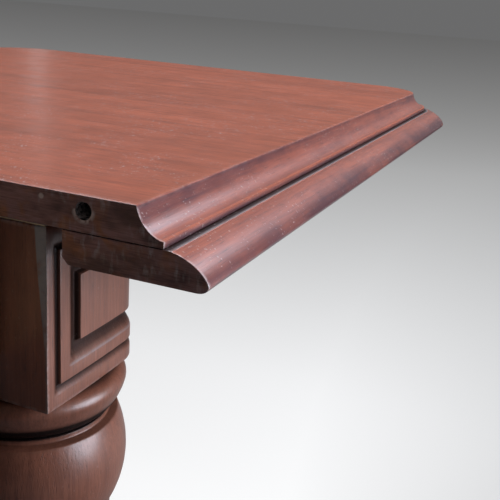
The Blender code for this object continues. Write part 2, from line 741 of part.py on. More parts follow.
def main():
    clear_scene()
    mahogany = material("mahogany_top", (0.36, 0.12, 0.075), 0.30)
    moulding = material("mahogany_moulding", (0.20, 0.065, 0.05), 0.35)
    leg_wood = material("mahogany_leg", (0.19, 0.095, 0.07), 0.35)
    frame_wood = material("beech_frame", (0.38, 0.25, 0.14), 0.6)
    pale_wood = material("rub_strip", (0.50, 0.43, 0.33), 0.7)
    brass = material("brass", (0.62, 0.45, 0.20), 0.35, 1.0)
    steel = material("steel", (0.35, 0.35, 0.36), 0.4, 1.0)
    china = material("castor_china", (0.75, 0.72, 0.66), 0.2)
    round_edge = pi / 5

    board = board_mesh()
    rim, end_rim = side_rim_mesh(), end_rim_mesh()
    other_rim = rim.copy()
    other_rim.transform(Matrix.Scale(-1, 4, (0, 1, 0)))
    other_rim.flip_normals()
    screw = screw_mesh()
    catch = catch_mesh()
    for name, turn, lane in (("socket_half", 0, -1), ("dowel_half", pi, 1)):
        place = Matrix.Rotation(turn, 4, "Z") @ Matrix.Translation((mate_x, 0, 0))
        pieces = [("board", board, mahogany), ("rim_right", rim, moulding), ("rim_left", other_rim, moulding),
                  ("rim_end", end_rim, moulding), ("cross_batten", batten_mesh(lane), frame_wood)]
        for part, mesh in (("bearer", bearer_mesh(lane)), ("stop", stop_mesh(lane))):
            other = mesh.copy()
            other.transform(Matrix.Scale(-1, 4, (0, 1, 0)))
            other.flip_normals()
            pieces += [(part + "_right", mesh, frame_wood), (part + "_left", other, frame_wood)]
        for part, mesh, finish in pieces:
            smooth = round_edge if part.startswith(("board", "rim")) else None
            add_object(name + "_" + part, mesh, finish, smooth).matrix_world = place
        role = "catch_screw" if name == "socket_half" else "keeper_screw"
        for hand, side in (("right", -1), ("left", 1)):
            spot = place @ Matrix.Translation((catch_inset, side * catch_spread, underside))
            add_object(role + "_" + hand, screw, steel).matrix_world = spot
    for hand, side in (("right", -1), ("left", 1)):
        spot = Matrix.Translation((mate_x + catch_inset, side * catch_spread, underside - 2 * seat_gap))
        hook = catch.copy()
        if side > 0:
            hook.transform(Matrix.Scale(-1, 4, (0, 1, 0)))
            hook.flip_normals()
        add_object("catch_" + hand, hook, brass).matrix_world = spot

    dowel = along_x(round_mesh("dowel", dowel_radius, -dowel_seat, dowel_stand, dowel_sides, dowel_chamfer))
    for place, y in zip(("right", "middle", "left"), dowel_places()):
        pin = add_object("dowel_" + place, dowel, pale_wood, round_edge)
        pin.location = (-mate_x, y, table_height - dowel_below_top)

    leg, strip, cup = leg_mesh(), rub_strip_mesh(), cup_mesh()
    fork = fork_mesh()
    wheel, axle = wheel_mesh(), axle_mesh()
    corners = (("socket_right", 1, -1, 0), ("socket_left", 1, 1, 1),
               ("dowel_right", -1, 1, 2), ("dowel_left", -1, -1, 3))
    for name, side_x, side_y, quarter in corners:
        spot = Vector((side_x * leg_x, side_y * leg_y, 0))
        turned = Matrix.Translation(spot) @ Matrix.Rotation(quarter * pi / 2, 4, "Z")
        add_object("leg_" + name, leg, leg_wood, round_edge).matrix_world = turned
        add_object("rub_strip_" + name, strip, pale_wood).matrix_world = turned
        add_object("castor_cup_" + name, cup, brass, round_edge).matrix_world = turned
        swivel = bpy.data.objects.new("castor_swivel_" + name, None)
        bpy.context.collection.objects.link(swivel)
        swivel.location = spot + Vector((0, 0, cup_bottom - running_gap))
        swivel.rotation_euler.z = 0 if side_x > 0 else pi
        axle_place = Vector((fork_trail, 0, wheel_radius - cup_bottom + running_gap))
        parts = (("fork", fork, brass, Vector()), ("wheel", wheel, china, axle_place),
                 ("axle", axle, steel, axle_place))
        for part, mesh, finish, local in parts:
            piece = add_object("castor_" + part + "_" + name, mesh, finish, round_edge)
            piece.parent = swivel
            piece.location = local

    side_span = 2 * (leg_x - block_half)
    end_span = 2 * (leg_y - block_half)
    side_rail = rail_mesh(side_span, ())
    add_object("side_rail_right", side_rail, frame_wood).location.y = -side_rail_y
    add_object("side_rail_left", side_rail, frame_wood).location.y = side_rail_y
    for name, side, lane in (("socket", 1, -1), ("dowel", -1, 1)):
        notch = guide_centre + lane * bearer_offset
        rail = add_object("end_rail_" + name, rail_mesh(end_span, (-notch, notch)), frame_wood)
        rail.location.x = side * end_rail_x
        rail.rotation_euler.z = pi / 2
    guide = guide_mesh()
    add_object("guide_right", guide, frame_wood).location.y = -guide_centre
    add_object("guide_left", guide, frame_wood).location.y = guide_centre
    add_object("centre_rail", centre_rail_mesh(), frame_wood)


main()
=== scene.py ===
"""Dresses the frame of an extending dining table: moulded half-tops, turned legs, runners and castors.

Metres, +Z up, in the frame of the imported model. A half-top is drawn with its mating face at x = 0 and its
length towards +X, and a leg round its own axis with its outer faces towards -Y and +X; both are then turned
into place in their meshes.
"""

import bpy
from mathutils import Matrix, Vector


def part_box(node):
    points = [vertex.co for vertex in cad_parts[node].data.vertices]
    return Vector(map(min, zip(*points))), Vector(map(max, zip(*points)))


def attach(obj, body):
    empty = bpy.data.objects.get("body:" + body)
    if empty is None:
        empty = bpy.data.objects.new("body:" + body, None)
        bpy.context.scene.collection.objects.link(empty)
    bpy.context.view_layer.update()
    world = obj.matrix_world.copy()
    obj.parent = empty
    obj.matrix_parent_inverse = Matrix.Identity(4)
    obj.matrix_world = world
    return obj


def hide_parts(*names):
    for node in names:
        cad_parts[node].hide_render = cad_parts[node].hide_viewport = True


bl_info = {
    "name": "Extending dining table",
    "version": (1, 0, 0),
    "blender": (4, 5, 0),
    "location": "3D View > Sidebar > Dining table",
    "description": "Adds the polished wood, brass and china pieces of an extending dining table",
    "category": "Object",
}

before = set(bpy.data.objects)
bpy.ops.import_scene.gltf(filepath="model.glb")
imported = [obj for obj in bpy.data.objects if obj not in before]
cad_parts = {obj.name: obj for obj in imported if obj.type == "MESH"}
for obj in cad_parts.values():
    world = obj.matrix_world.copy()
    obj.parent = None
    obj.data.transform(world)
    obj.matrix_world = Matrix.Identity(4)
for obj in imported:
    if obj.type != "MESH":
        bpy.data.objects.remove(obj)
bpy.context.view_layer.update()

from math import cos, pi, radians, sin

import bmesh
import bpy
from bpy.props import FloatProperty, FloatVectorProperty, IntProperty, PointerProperty
from mathutils import Euler, Matrix, Vector

board_low, board_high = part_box("socket_half_board")
rim_low, rim_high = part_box("socket_half_rim_right")
leg_low, leg_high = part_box("leg_socket_right")
cup_low, cup_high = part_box("castor_cup_socket_right")
wheel_low, wheel_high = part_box("castor_wheel_socket_right")
axle_low, axle_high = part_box("castor_axle_socket_right")
screw_low, screw_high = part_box("keeper_screw_right")

mate_x = board_low.x
table_height = board_high.z
leg_centre = (leg_low + leg_high) / 2
half_turns = (("socket_half", 0), ("dowel_half", pi))
corners = (("socket_right", 1, -1, 0), ("socket_left", 1, 1, 1),
           ("dowel_right", -1, 1, 2), ("dowel_left", -1, -1, 3))
seam = 1e-6  # Distance under which two points are one
hub = 0.01  # Radius of the helper circle that a turned profile is swept round
flat, facing = 0.97, 0.9  # Least part of a normal with which a face lies flat, or faces a side


def length(label, default, words):
    return FloatProperty(name=label, description=words, default=default, min=0, unit="LENGTH", precision=4)


def number(label, default, words, least=0):
    return FloatProperty(name=label, description=words, default=default, min=least)


def count(label, default, words):
    return IntProperty(name=label, description=words, default=default, min=1)


def colour(label, default, words):
    return FloatVectorProperty(name=label, description=words, default=default, size=3, min=0, max=1,
                               subtype="COLOR")


def position(label, default, words):
    return FloatVectorProperty(name=label, description=words, default=default, size=3, unit="LENGTH",
                               subtype="TRANSLATION", precision=3)


def rotation(label, angles, words):
    return FloatVectorProperty(name=label, description=words, default=[radians(angle) for angle in angles],
                               size=3, unit="ROTATION", subtype="EULER")


class TopSettings(bpy.types.PropertyGroup):
    cove_reach: length("Cove reach", 0.0200, "How far the cove stands out from the arris")
    cove_drop: length("Cove drop", 0.0206, "Depth of the cove's foot under the top")
    cove_power: number("Cove power", 1.7, "Fullness of the cove's curve, 2 being an ellipse")
    cove_steps: count("Cove steps", 18, "Faces down the cove")
    corner_radius: length("Corner radius", 0.080, "Radius of the far corners at the arris")
    corner_steps: count("Corner steps", 24, "Faces round a far corner")
    # Painted shade: how dark the faces under the cove's foot are made.
    cove_dirt: number("Cove dirt", 0.35, "Share of dirt under the cove")
    arris_wear: length("Arris wear", 0.0009, "Depth to which the top's sharp edges are worn round")
    arris_rub: number("Arris rub", 0.2, "Share of the polish that is rubbed off the moulded arris")
    sawn_rub: number("Sawn edge rub", 0.25, "Share of the polish rubbed off the mating face's top edge")
    wear_spread: length("Wear spread", 0.0030, "How far the polish is rubbed away from an edge")
    thumb_start: length("Thumb start", 0.0261, "Where the thumb moulding starts, out from the arris")
    thumb_lip: length("Thumb lip", 0.0005, "Height of the thumb moulding's first step")
    thumb_reach: length("Thumb reach", 0.0267, "Width of the thumb moulding")
    thumb_power: number("Thumb power", 1.5, "Fullness of the thumb moulding, 2 being an ellipse")
    thumb_steps: count("Thumb steps", 20, "Faces down the thumb moulding")
    # Thumb shading and paleness set the painted shade that darkens the thumb moulding downwards.
    thumb_shading: number("Thumb shading", 3.4, "How fast the thumb moulding darkens downwards")
    thumb_paleness: number("Thumb paleness", 0.6, "How long the thumb moulding stays pale before it darkens")
    # Painted shade with some old wax: how dark the ledge's corner next to the cove is made.
    ledge_dirt: number("Ledge dirt", 0.9, "Share of dirt in the corner between cove and ledge")
    ledge_dust: number("Ledge dust", 0.8, "Share of dust on the ledge over the thumb moulding")
    nose_tuck: length("Nose tuck", 0.0088, "How far the nose turns back underneath")
    nose_drop: length("Nose drop", 0.0055, "Height of the turn under the nose")
    nose_steps: count("Nose steps", 8, "Faces round the turn under the nose")
    inner_round: length("Inner round", 0.0045, "Radius of the rim's inner lower edge")
    edge_round: length("Edge round", 0.0005, "Radius of the rim's small edges")
    socket_radius: length("Socket radius", 0.00555, "Radius of the dowel sockets")
    socket_depth: length("Socket depth", 0.032, "Depth of the dowel sockets")
    socket_worn: length("Worn mouth", 0.0022, "Width of the chipped ring round a socket's mouth")
    chip_aside: length("Chip aside", 0.033, "Distance of the chipped spot from an outer socket")
    chip_below: length("Chip depth", 0.0055, "Depth of the chipped spot under the top")
    chip_size: length("Chip size", 0.0024, "Radius of the chipped spot on the mating face")
    socket_inset: length("Socket inset", 0.0394, "Distance of the outer sockets from the arris")
    socket_below: length("Socket depth under top", 0.0104, "Depth of the sockets' axes under the top")
    screw_hole: length("Screw hole", 0.0028, "Radius of the pilot holes for the catch screws")
    screw_inset: length("Screw inset", 0.014, "Distance of the catch screws from the mating face")
    screw_depth: length("Screw depth", 0.0143, "Depth of the pilot holes")


class LegSettings(bpy.types.PropertyGroup):
    block_side: length("Block side", 0.133, "Width of the square block")
    block_height: length("Block height", 0.1425, "Height of the square block")
    corner_radius: length("Corner radius", 0.030, "Radius of the block's outer corner")
    bow: length("Bow", 0.0018, "How far the outer faces swell")
    side_margin: length("Side margin", 0.0070, "Plain margin beside the panel")
    top_margin: length("Top margin", 0.0115, "Plain margin over the panel")
    foot_margin: length("Foot margin", 0.0100, "Plain margin under the panel")
    outer_groove_width: length("Outer groove width", 0.0085, "Width of the groove round the panel")
    outer_groove_depth: length("Outer groove depth", 0.0030, "Depth of the groove round the panel")
    bead_width: length("Bead width", 0.0100, "Width of the band between the grooves")
    inner_groove_width: length("Inner groove width", 0.0160, "Width of the groove between band and field")
    inner_groove_depth: length("Inner groove depth", 0.0060, "Depth of the inner groove")
    field_depth: length("Field depth", 0.0015, "How far the field lies under the face")
    edge_worn: length("Worn edge", 0.0011, "Radius to which the block's arrises are worn")
    scuff_width: length("Scuff width", 0.0070, "Width of the scuffed strip at the block's inner corner")
    scuff_height: length("Scuff height", 0.058, "Height of the scuffed strip")
    # Painted shade: how far the darkening spreads from the turned hollows and creases.
    dirt_spread: length("Dirt spread", 0.003, "How far dirt creeps out of the hollows")
    scuff_power: number("Scuff power", 0.35, "How evenly wide the scuffed strip stays down to its end")
    edge_rub: number("Edge rub", 0.5, "Share of the polish that is rubbed off the block's arrises")
    # Painted shade with some old wax in the panel's grooves, thickening down their walls.
    groove_dirt: number("Groove dirt", 0.9, "Most dirt in the panel's grooves")
    dirt_rise: number("Dirt rise", 1.5, "How fast dirt thickens down a groove's wall")
    # Painted highlight: a pale bluish grey on the band's lower edge, where it catches the light.
    groove_dust: number("Groove dust", 0.45, "Share of dust on the band's lower edge")
    # Painted shade with some old wax in the creases over the collar and under the thin ring.
    collar_dirt: number("Collar dirt", 0.9, "Share of dirt over the collar")
    ring_dirt: number("Ring dirt", 0.45, "Share of dirt under the thin ring")
    scuff_tilt: number("Scuff tilt", 0.30, "Slope of the scuffed strip")
    sides: count("Sides", 72, "Faces round the turned leg")
    cushion_radius: length("Cushion radius", 0.079, "Radius of the cushion under the block")
    cushion_widest: length("Cushion depth", 0.182, "Depth under the top where the cushion is widest")
    cushion_power: number("Cushion power", 1.4, "Fullness of the cushion's lower curve, 2 being an ellipse")
    cushion_foot_radius: length("Cushion foot radius", 0.0655, "Radius at the cushion's foot")
    cushion_foot: length("Cushion foot", 0.2055, "Depth of the cushion's foot under the top")
    groove_radius: length("Deep groove radius", 0.058, "Radius in the groove under the cushion")
    ring_radius: length("Ring radius", 0.0655, "Radius of the thin ring")
    ring_top: length("Ring top", 0.2080, "Depth of the ring's top under the table's top")
    ring_foot: length("Ring foot", 0.2122, "Depth of the ring's foot under the table's top")
    bulb_radius: length("Bulb radius", 0.080, "Widest radius of the bulb")
    bulb_widest: length("Bulb depth", 0.251, "Depth under the top where the bulb is widest")
    bulb_curve: length("Bulb curve", 0.095, "Radius of the bulb's outline")
    bulb_top: length("Bulb top", 0.2135, "Depth of the bulb's top under the table's top")
    bulb_foot: length("Bulb foot", 0.3015, "Depth of the bulb's foot under the table's top")
    collar_radius: length("Collar radius", 0.0665, "Radius of the collar under the bulb")
    collar_foot: length("Collar foot", 0.315, "Depth of the collar's foot under the top")
    neck_radius: length("Neck radius", 0.046, "Narrowest radius under the collar")
    neck_depth: length("Neck depth", 0.334, "Depth of the neck under the top")
    vase_radius: length("Vase radius", 0.060, "Widest radius of the vase shape")
    vase_widest: length("Vase depth", 0.395, "Depth under the top where the vase is widest")
    ankle_radius: length("Ankle radius", 0.029, "Narrowest radius over the foot")
    ankle_height: length("Ankle height", 0.125, "Height of the ankle over the floor")
    ankle_ring_radius: length("Ankle ring radius", 0.037, "Radius of the ring at the ankle")
    ankle_ring_height: length("Ankle ring height", 0.016, "Height of the ring at the ankle")
    foot_radius: length("Foot radius", 0.0245, "Radius where the leg enters its cup")
    toe_radius: length("Toe radius", 0.0225, "Radius at the leg's lower end")
    stem_bore: length("Stem bore", 0.0043, "Radius of the bore for the castor's stem")
    stem_depth: length("Stem depth", 0.012, "Depth of the bore in the foot of the leg")
    tenon_width: length("Mortise width", 0.0126, "Width of the mortises for the rails")
    tenon_height: length("Mortise height", 0.0786, "Height of the mortises for the rails")


class FittingSettings(bpy.types.PropertyGroup):
    wood_ease: length("Wood ease", 0.0011, "Width of the eased edges on the frame's wood")
    metal_ease: length("Metal ease", 0.0005, "Width of the eased edges on flat metal")
    screw_radius: length("Screw radius", 0.0042, "Radius of a countersunk screw head")
    screw_proud: length("Screw proud", 0.0002, "How far a screw head stands out")
    screw_spacing: length("Screw spacing", 0.190, "Distance between the screws along a runner")
    slot_width: length("Slot width", 0.0011, "Width of a screw's slot")
    slot_depth: length("Slot depth", 0.0010, "Depth of a screw's slot")
    cup_wall: length("Cup wall", 0.0022, "Wall of a castor cup")
    cup_lip: length("Cup lip", 0.0015, "How far the cup's lip stands out")
    cup_lip_height: length("Cup lip height", 0.004, "Height of the cup's lip")
    cup_floor: length("Cup floor", 0.004, "Thickness of the cup's floor")
    stem_hole: length("Stem hole", 0.0043, "Radius of the hole for the fork's stem")
    tyre_round: length("Tyre round", 0.0045, "Radius of the wheel's shoulders")
    axle_radius: length("Axle radius", 0.0025, "Radius of the wheel's axle")
    axle_clearance: length("Axle clearance", 0.0001, "Gap between the axle and the wheel's bore")
    axle_head: length("Axle head", 0.0015, "Height of the axle's riveted heads")
    dowel_round: length("Dowel round", 0.0022, "Radius of a dowel's end")
    sides: count("Sides", 40, "Faces round the castors and screws")


class FinishSettings(bpy.types.PropertyGroup):
    top_light: colour("Top, light", (0.55, 0.138, 0.068), "Light tone of the polished top")
    top_dark: colour("Top, dark", (0.20, 0.052, 0.030), "Dark streaks of the polished top")
    # The moulding's dark tone is also where the painted shade of the tone layer leads.
    moulding_light: colour("Moulding, light", (0.50, 0.128, 0.068), "Light tone of the moulding")
    moulding_dark: colour("Moulding, dark", (0.092, 0.027, 0.034), "Dark tone of the moulding")
    leg_light: colour("Leg, light", (0.275, 0.107, 0.068), "Light tone of the legs")
    leg_dark: colour("Leg, dark", (0.095, 0.033, 0.023), "Dark streaks of the legs")
    bare: colour("Bare wood", (0.56, 0.47, 0.46), "Wood that shows where the polish is rubbed off")
    # This colour is dust on ledges and scuffs, and also the painted highlight on the leg panel's band edge.
    dust: colour("Dust", (0.26, 0.27, 0.29), "Dust on ledges and scuffed corners")
    # This dark colour serves pores, soot and old wax, and also the painted shade that the dirt layer lays
    # into grooves, creases, under the cove and round the cushion.
    dirt: colour("Dirt", (0.012, 0.009, 0.009), "Old wax and dirt in the hollows")
    mate_dark: colour("Mating face, dark", (0.34, 0.19, 0.19), "Dark tone of the unpolished mating faces")
    mate_red: colour("Mating face, red", (0.40, 0.17, 0.09), "Reddish patches of the mating faces")
    mate_grey: colour("Mating face, scuffs", (0.52, 0.48, 0.50), "Scuffs on the mating faces")
    raw_light: colour("Raw mahogany, light", (0.20, 0.098, 0.062), "Light tone of the unpolished undersides")
    raw_dark: colour("Raw mahogany, dark", (0.105, 0.046, 0.030), "Dark streaks of the unpolished undersides")
    frame_light: colour("Frame, light", (0.42, 0.27, 0.15), "Light tone of the frame's wood")
    frame_dark: colour("Frame, dark", (0.24, 0.135, 0.07), "Dark streaks of the frame's wood")
    pale: colour("Rub strip", (0.85, 0.76, 0.58), "Pale wood of the rub strips and dowels")
    brass: colour("Brass", (0.62, 0.45, 0.20), "Brass of the castors and catches")
    tarnish: colour("Tarnish", (0.16, 0.10, 0.05), "Tarnish on the brass")
    steel: colour("Steel", (0.36, 0.36, 0.37), "Screws and axles")
    china: colour("China", (0.75, 0.72, 0.66), "Glazed wheels")
    crazing: colour("Crazing", (0.42, 0.36, 0.28), "Fine lines in the glaze")
    floor_near: colour("Floor, near", (0.98, 0.98, 0.98), "Floor in front of the camera")
    floor_far: colour("Floor, far", (0.128, 0.127, 0.126), "Floor far behind the table")
    daylight: colour("Daylight", (0.94, 0.95, 1.0), "Colour of the studio lamps")
    window: colour("Window", (0.72, 0.85, 1.0), "Colour of the lamp that the mouldings mirror")
    backdrop: colour("Backdrop", (0.145, 0.145, 0.146), "Backdrop over the floor's far edge")
    floor_bounce: colour("Floor, unseen", (0.12, 0.12, 0.125), "Floor as it lights the table from below")
    band_depth: number("Bands", 0.30, "How dark the broad bands of the polished wood are")
    streak_depth: number("Streaks", 0.30, "How dark the fine streaks of the polished wood are")
    mottle_depth: number("Mottle", 0.16, "How dark the cloudy spots of the polished wood are")
    grain_depth: number("Grain", 0.35, "How dark the grain of the polished wood is")
    pore_depth: number("Pores", 0.4, "How dark the pores of the polished wood are")
    rub_depth: number("Rubbed edges", 0.7, "How bare the rubbed edges of the polished wood are")
    patch_depth: number("Mating patches", 0.8, "How red the patches of a mating face are")
    soot_depth: number("Mating soot", 0.55, "How dark the sooty parts of a mating face are")
    scuff_depth: number("Mating scuffs", 0.7, "How grey the scuffs of a mating face are")
    fibre_depth: number("Fibres", 0.4, "How dark the fibres of unpolished wood are")
    chip_depth: number("Chips", 0.6, "How pale the chips inside a socket's mouth are")
    raw_band_depth: number("Raw bands", 0.5, "How dark the broad bands of unpolished wood are")
    raw_streak_depth: number("Raw streaks", 0.4, "How dark the fine streaks of unpolished wood are")
    craze_depth: number("Craze lines", 0.5, "How dark the fine lines in the glaze are")
    polish_relief: length("Polish relief", 0.00012, "Height of the grain under the polish")
    raw_relief: length("Raw relief", 0.0002, "Height of the fibres of unpolished wood")
    chip_relief: length("Chip relief", 0.0003, "Height of the chips in a socket's mouth")
    scratch_relief: length("Scratch relief", 0.00003, "Depth of the scratches in metal")


class Shader:
    """A material under construction: each method adds a node and returns its output socket."""

    def __init__(self, name, **values):
        self.made = bpy.data.materials.new(name + "_finish")
        self.made.use_nodes = True
        self.tree = self.made.node_tree
        self.surface = self.tree.nodes["Principled BSDF"]
        for label, value in values.items():
            self.surface.inputs[label.replace("_", " ").title().replace("Ior", "IOR")].default_value = value

    def node(self, kind, feeds=(), **settings):
        made = self.tree.nodes.new("ShaderNode" + kind)
        for key, value in settings.items():
            setattr(made, key, value)
        for label, value in feeds:
            if isinstance(value, bpy.types.NodeSocket):
                self.tree.links.new(value, made.inputs[label])
            elif isinstance(label, int) or made.inputs[label].type != "RGBA":
                made.inputs[label].default_value = value
            else:
                made.inputs[label].default_value = (*value, 1.0)
        return made

    def place(self, stretch=(1, 1, 1)):
        spot = self.node("TexCoord").outputs["Object"]
        return self.node("Mapping", (("Vector", spot), ("Scale", stretch))).outputs["Vector"]

    def noise(self, stretch, scale, detail=2.0, distortion=0.0):
        feeds = (("Vector", self.place(stretch)), ("Scale", scale), ("Detail", detail),
                 ("Distortion", distortion))
        return self.node("TexNoise", feeds).outputs["Fac"]

    def layer(self, name):
        return self.node("Attribute", attribute_name=name).outputs["Fac"]

    def fade(self, value, low, high, start=0.0, end=1.0):
        feeds = ((0, value), (1, low), (2, high), (3, start), (4, end))
        return self.node("MapRange", feeds, clamp=True).outputs["Result"]

    def cloud(self, scale, detail, low, high, stretch=(1, 1, 1), distortion=0.0):
        """Noise that goes from 0 to 1 between two of its levels."""
        return self.fade(self.noise(stretch, scale, detail, distortion), low, high)

    def maths(self, operation, first, second=0.0, clamp=True):
        return self.node("Math", ((0, first), (1, second)), operation=operation,
                         use_clamp=clamp).outputs["Value"]

    def times(self, first, second):
        return self.maths("MULTIPLY", first, second)

    def plus(self, first, second):
        return self.maths("ADD", first, second)

    def mix(self, share, first, second):
        made = self.node("Mix", ((0, share),), data_type="RGBA")
        for index, value in ((6, first), (7, second)):
            if isinstance(value, bpy.types.NodeSocket):
                self.tree.links.new(value, made.inputs[index])
            else:
                made.inputs[index].default_value = (*value, 1.0)
        return made.outputs[2]

    def set(self, label, value):
        self.tree.links.new(value, self.surface.inputs[label])

    def bump(self, height, distance, strength=1.0):
        feeds = (("Height", height), ("Distance", distance), ("Strength", strength))
        self.set("Normal", self.node("Bump", feeds).outputs["Normal"])


def stretched(axis, along):
    """Pattern scale that is drawn out along one axis."""
    return tuple(along if name == axis else 1 for name in "XYZ")


def polished_wood(name, light, dark, axis, roughness, coat, specks):
    """Old polished mahogany with its grain along one axis, rubbed pale at its edges and specked, with painted
    shade and a painted highlight laid in from its mesh's layers.
    """
    finish = bpy.context.scene.table_finish
    wood = Shader(name, coat_roughness=0.25)
    band = wood.cloud(13, 3, low=0.30, high=0.72, stretch=stretched(axis, 0.14), distortion=0.8)
    streak = wood.cloud(130, 3, low=0.42, high=0.70, stretch=stretched(axis, 0.035), distortion=0.4)
    mottle = wood.cloud(42, 4, low=0.4, high=0.7)
    grain = wood.noise(stretched(axis, 0.045), scale=620, detail=2)
    pore = wood.cloud(1500, 1, low=0.60, high=0.74, stretch=stretched(axis, 0.05))
    # Stain is only a noise here: it breaks up the painted shade of the tone layer.
    stain = wood.fade(wood.noise((1, 1, 1), scale=11, detail=4), 0.35, 0.6, start=0.50, end=0.74)
    # This layer carries real dust and a painted highlight on the leg panel's band edge.
    dust = wood.times(wood.layer("dust"), wood.cloud(90, 4, low=0.2, high=0.45))
    rubbed = wood.times(wood.layer("wear"), wood.cloud(260, 3, low=0.36, high=0.60))
    speck = wood.times(wood.cloud(400.7, 2, low=0.66, high=0.70), wood.cloud(12, 3, low=0.42, high=0.58))
    # The dirt layer is painted shade with some old wax: it darkens grooves, creases and undercuts and dulls
    # the polish there.
    dirt = wood.layer("dirt")

    shade = wood.plus(wood.times(band, finish.band_depth), wood.times(streak, finish.streak_depth))
    shade = wood.plus(shade, wood.times(mottle, finish.mottle_depth))
    # Tone is painted shade: the mouldings darken where they face away from the lamps.
    shade = wood.plus(shade, wood.times(wood.layer("tone"), stain))
    base = wood.mix(shade, light, dark)
    base = wood.mix(wood.fade(grain, 0.35, 0.7, end=finish.grain_depth), base, dark)
    base = wood.mix(wood.times(pore, finish.pore_depth), base, finish.dirt)
    base = wood.mix(dust, base, finish.dust)
    base = wood.mix(wood.times(rubbed, finish.rub_depth), base, finish.bare)
    base = wood.mix(dirt, base, finish.dirt)
    wood.set("Base Color", wood.mix(wood.times(speck, specks), base, finish.bare))

    wood.set("Specular IOR Level", wood.fade(dirt, 0, 1, start=0.5, end=0.05))
    wood.set("Coat Weight", wood.fade(dirt, 0, 1, start=coat, end=0))
    cloudy = wood.noise((1, 1, 1), scale=24, detail=3)
    gloss = wood.fade(cloudy, 0.3, 0.7, start=roughness - 0.06, end=roughness + 0.08)
    wood.set("Roughness", wood.plus(gloss, wood.times(rubbed, 0.3)))
    wood.bump(wood.maths("SUBTRACT", grain, wood.times(pore, 0.5)), finish.polish_relief)
    return wood.made


def chips(wood, top):
    """Share of chipped wood on a mating face: a ring under each socket and a spot beside the outer ones."""
    apart = wood.node("SeparateXYZ", ((0, wood.place()),)).outputs
    outer = board_high.y - top.cove_reach - top.socket_inset
    centre = wood.maths("ABSOLUTE", apart["Y"], clamp=False)
    aside = wood.maths("SUBTRACT", centre, outer, clamp=False)
    aside = wood.maths("MINIMUM", centre, wood.maths("ABSOLUTE", aside, clamp=False), clamp=False)
    below = wood.maths("SUBTRACT", table_height - top.socket_below, apart["Z"], clamp=False)
    away = wood.node("CombineXYZ", ((0, aside), (1, below))).outputs[0]
    away = wood.node("VectorMath", ((0, away),), operation="LENGTH").outputs["Value"]
    radius, worn = top.socket_radius, top.socket_worn
    mouth = wood.times(wood.fade(away, radius + 1.8 * worn, radius + 0.7 * worn), wood.fade(below, -worn, 0))
    mouth = wood.times(mouth, wood.cloud(260, 3, low=0.34, high=0.50))
    inward = wood.maths("SUBTRACT", centre, outer - top.chip_aside, clamp=False)
    chip = wood.node("CombineXYZ", ((0, inward), (1, below))).outputs[0]
    chip = wood.node("VectorMath", ((0, chip), (1, (0, top.chip_below - top.socket_below, 0))),
                     operation="DISTANCE").outputs["Value"]
    return wood.maths("MAXIMUM", mouth, wood.fade(chip, top.chip_size, top.chip_size * 0.6))


def mating_wood():
    """Unpolished face that meets a leaf: nearly black, red in patches, scuffed grey and chipped pale."""
    finish, top = bpy.context.scene.table_finish, bpy.context.scene.table_top
    wood = Shader("mating_face", specular_ior_level=0.35)
    patch = wood.cloud(75, 5, low=0.50, high=0.66, stretch=(1, 0.6, 0.8), distortion=0.5)
    soot = wood.cloud(60, 4, low=0.42, high=0.60, stretch=(1, 0.45, 1))
    scuff = wood.cloud(260, 5, low=0.50, high=0.72, stretch=(1, 1, 0.35))
    scuff = wood.times(scuff, wood.cloud(45, 2, low=0.45, high=0.6))
    fibre = wood.noise((1, 0.08, 1), scale=900, detail=2)

    base = wood.mix(wood.times(patch, finish.patch_depth), finish.mate_dark, finish.mate_red)
    base = wood.mix(wood.times(soot, finish.soot_depth), base, finish.dirt)
    base = wood.mix(wood.times(scuff, finish.scuff_depth), base, finish.mate_grey)
    base = wood.mix(wood.fade(fibre, 0.4, 0.7, end=finish.fibre_depth), base, finish.dirt)
    wood.set("Base Color", wood.mix(chips(wood, top), base, finish.bare))
    wood.set("Roughness", wood.fade(scuff, 0, 1, start=0.5, end=0.75))
    wood.bump(wood.plus(fibre, scuff), finish.raw_relief)
    return wood.made


def socket_wood():
    """Dark drilled wood, chipped pale round the mouth."""
    finish = bpy.context.scene.table_finish
    wood = Shader("socket_wood", roughness=0.7)
    chipped = wood.times(wood.layer("wear"), wood.cloud(330, 3, low=0.4, high=0.6))
    wood.set("Base Color", wood.mix(wood.times(chipped, finish.chip_depth), finish.dirt, finish.bare))
    wood.bump(chipped, finish.chip_relief)
    return wood.made


def raw_wood(name, light, dark, axis, roughness=0.62):
    """Planed, unpolished wood with its grain along one axis."""
    finish = bpy.context.scene.table_finish
    wood = Shader(name, specular_ior_level=0.4)
    band = wood.cloud(16, 3, low=0.3, high=0.7, stretch=stretched(axis, 0.12), distortion=0.6)
    streak = wood.cloud(210, 3, low=0.40, high=0.72, stretch=stretched(axis, 0.03), distortion=0.3)
    grain = wood.noise(stretched(axis, 0.04), scale=900, detail=2)
    shade = wood.plus(wood.times(band, finish.raw_band_depth), wood.times(streak, finish.raw_streak_depth))
    base = wood.mix(shade, light, dark)
    wood.set("Base Color", wood.mix(wood.fade(grain, 0.4, 0.7, end=finish.fibre_depth), base, dark))
    wood.set("Roughness", wood.fade(grain, 0.3, 0.7, start=roughness - 0.08, end=roughness + 0.1))
    wood.bump(grain, finish.raw_relief)
    return wood.made


def worn_metal(name, bright, dull, roughness):
    """Metal with a clouded, slightly scratched surface."""
    metal = Shader(name, metallic=1.0)
    cloud = metal.cloud(160, 4, low=0.42, high=0.68, distortion=0.4)
    scratch = metal.noise((1, 1, 0.08), scale=1600, detail=2)
    metal.set("Base Color", metal.mix(cloud, bright, dull))
    metal.set("Roughness", metal.fade(cloud, 0, 1, start=roughness, end=roughness + 0.25))
    metal.bump(scratch, bpy.context.scene.table_finish.scratch_relief)
    return metal.made


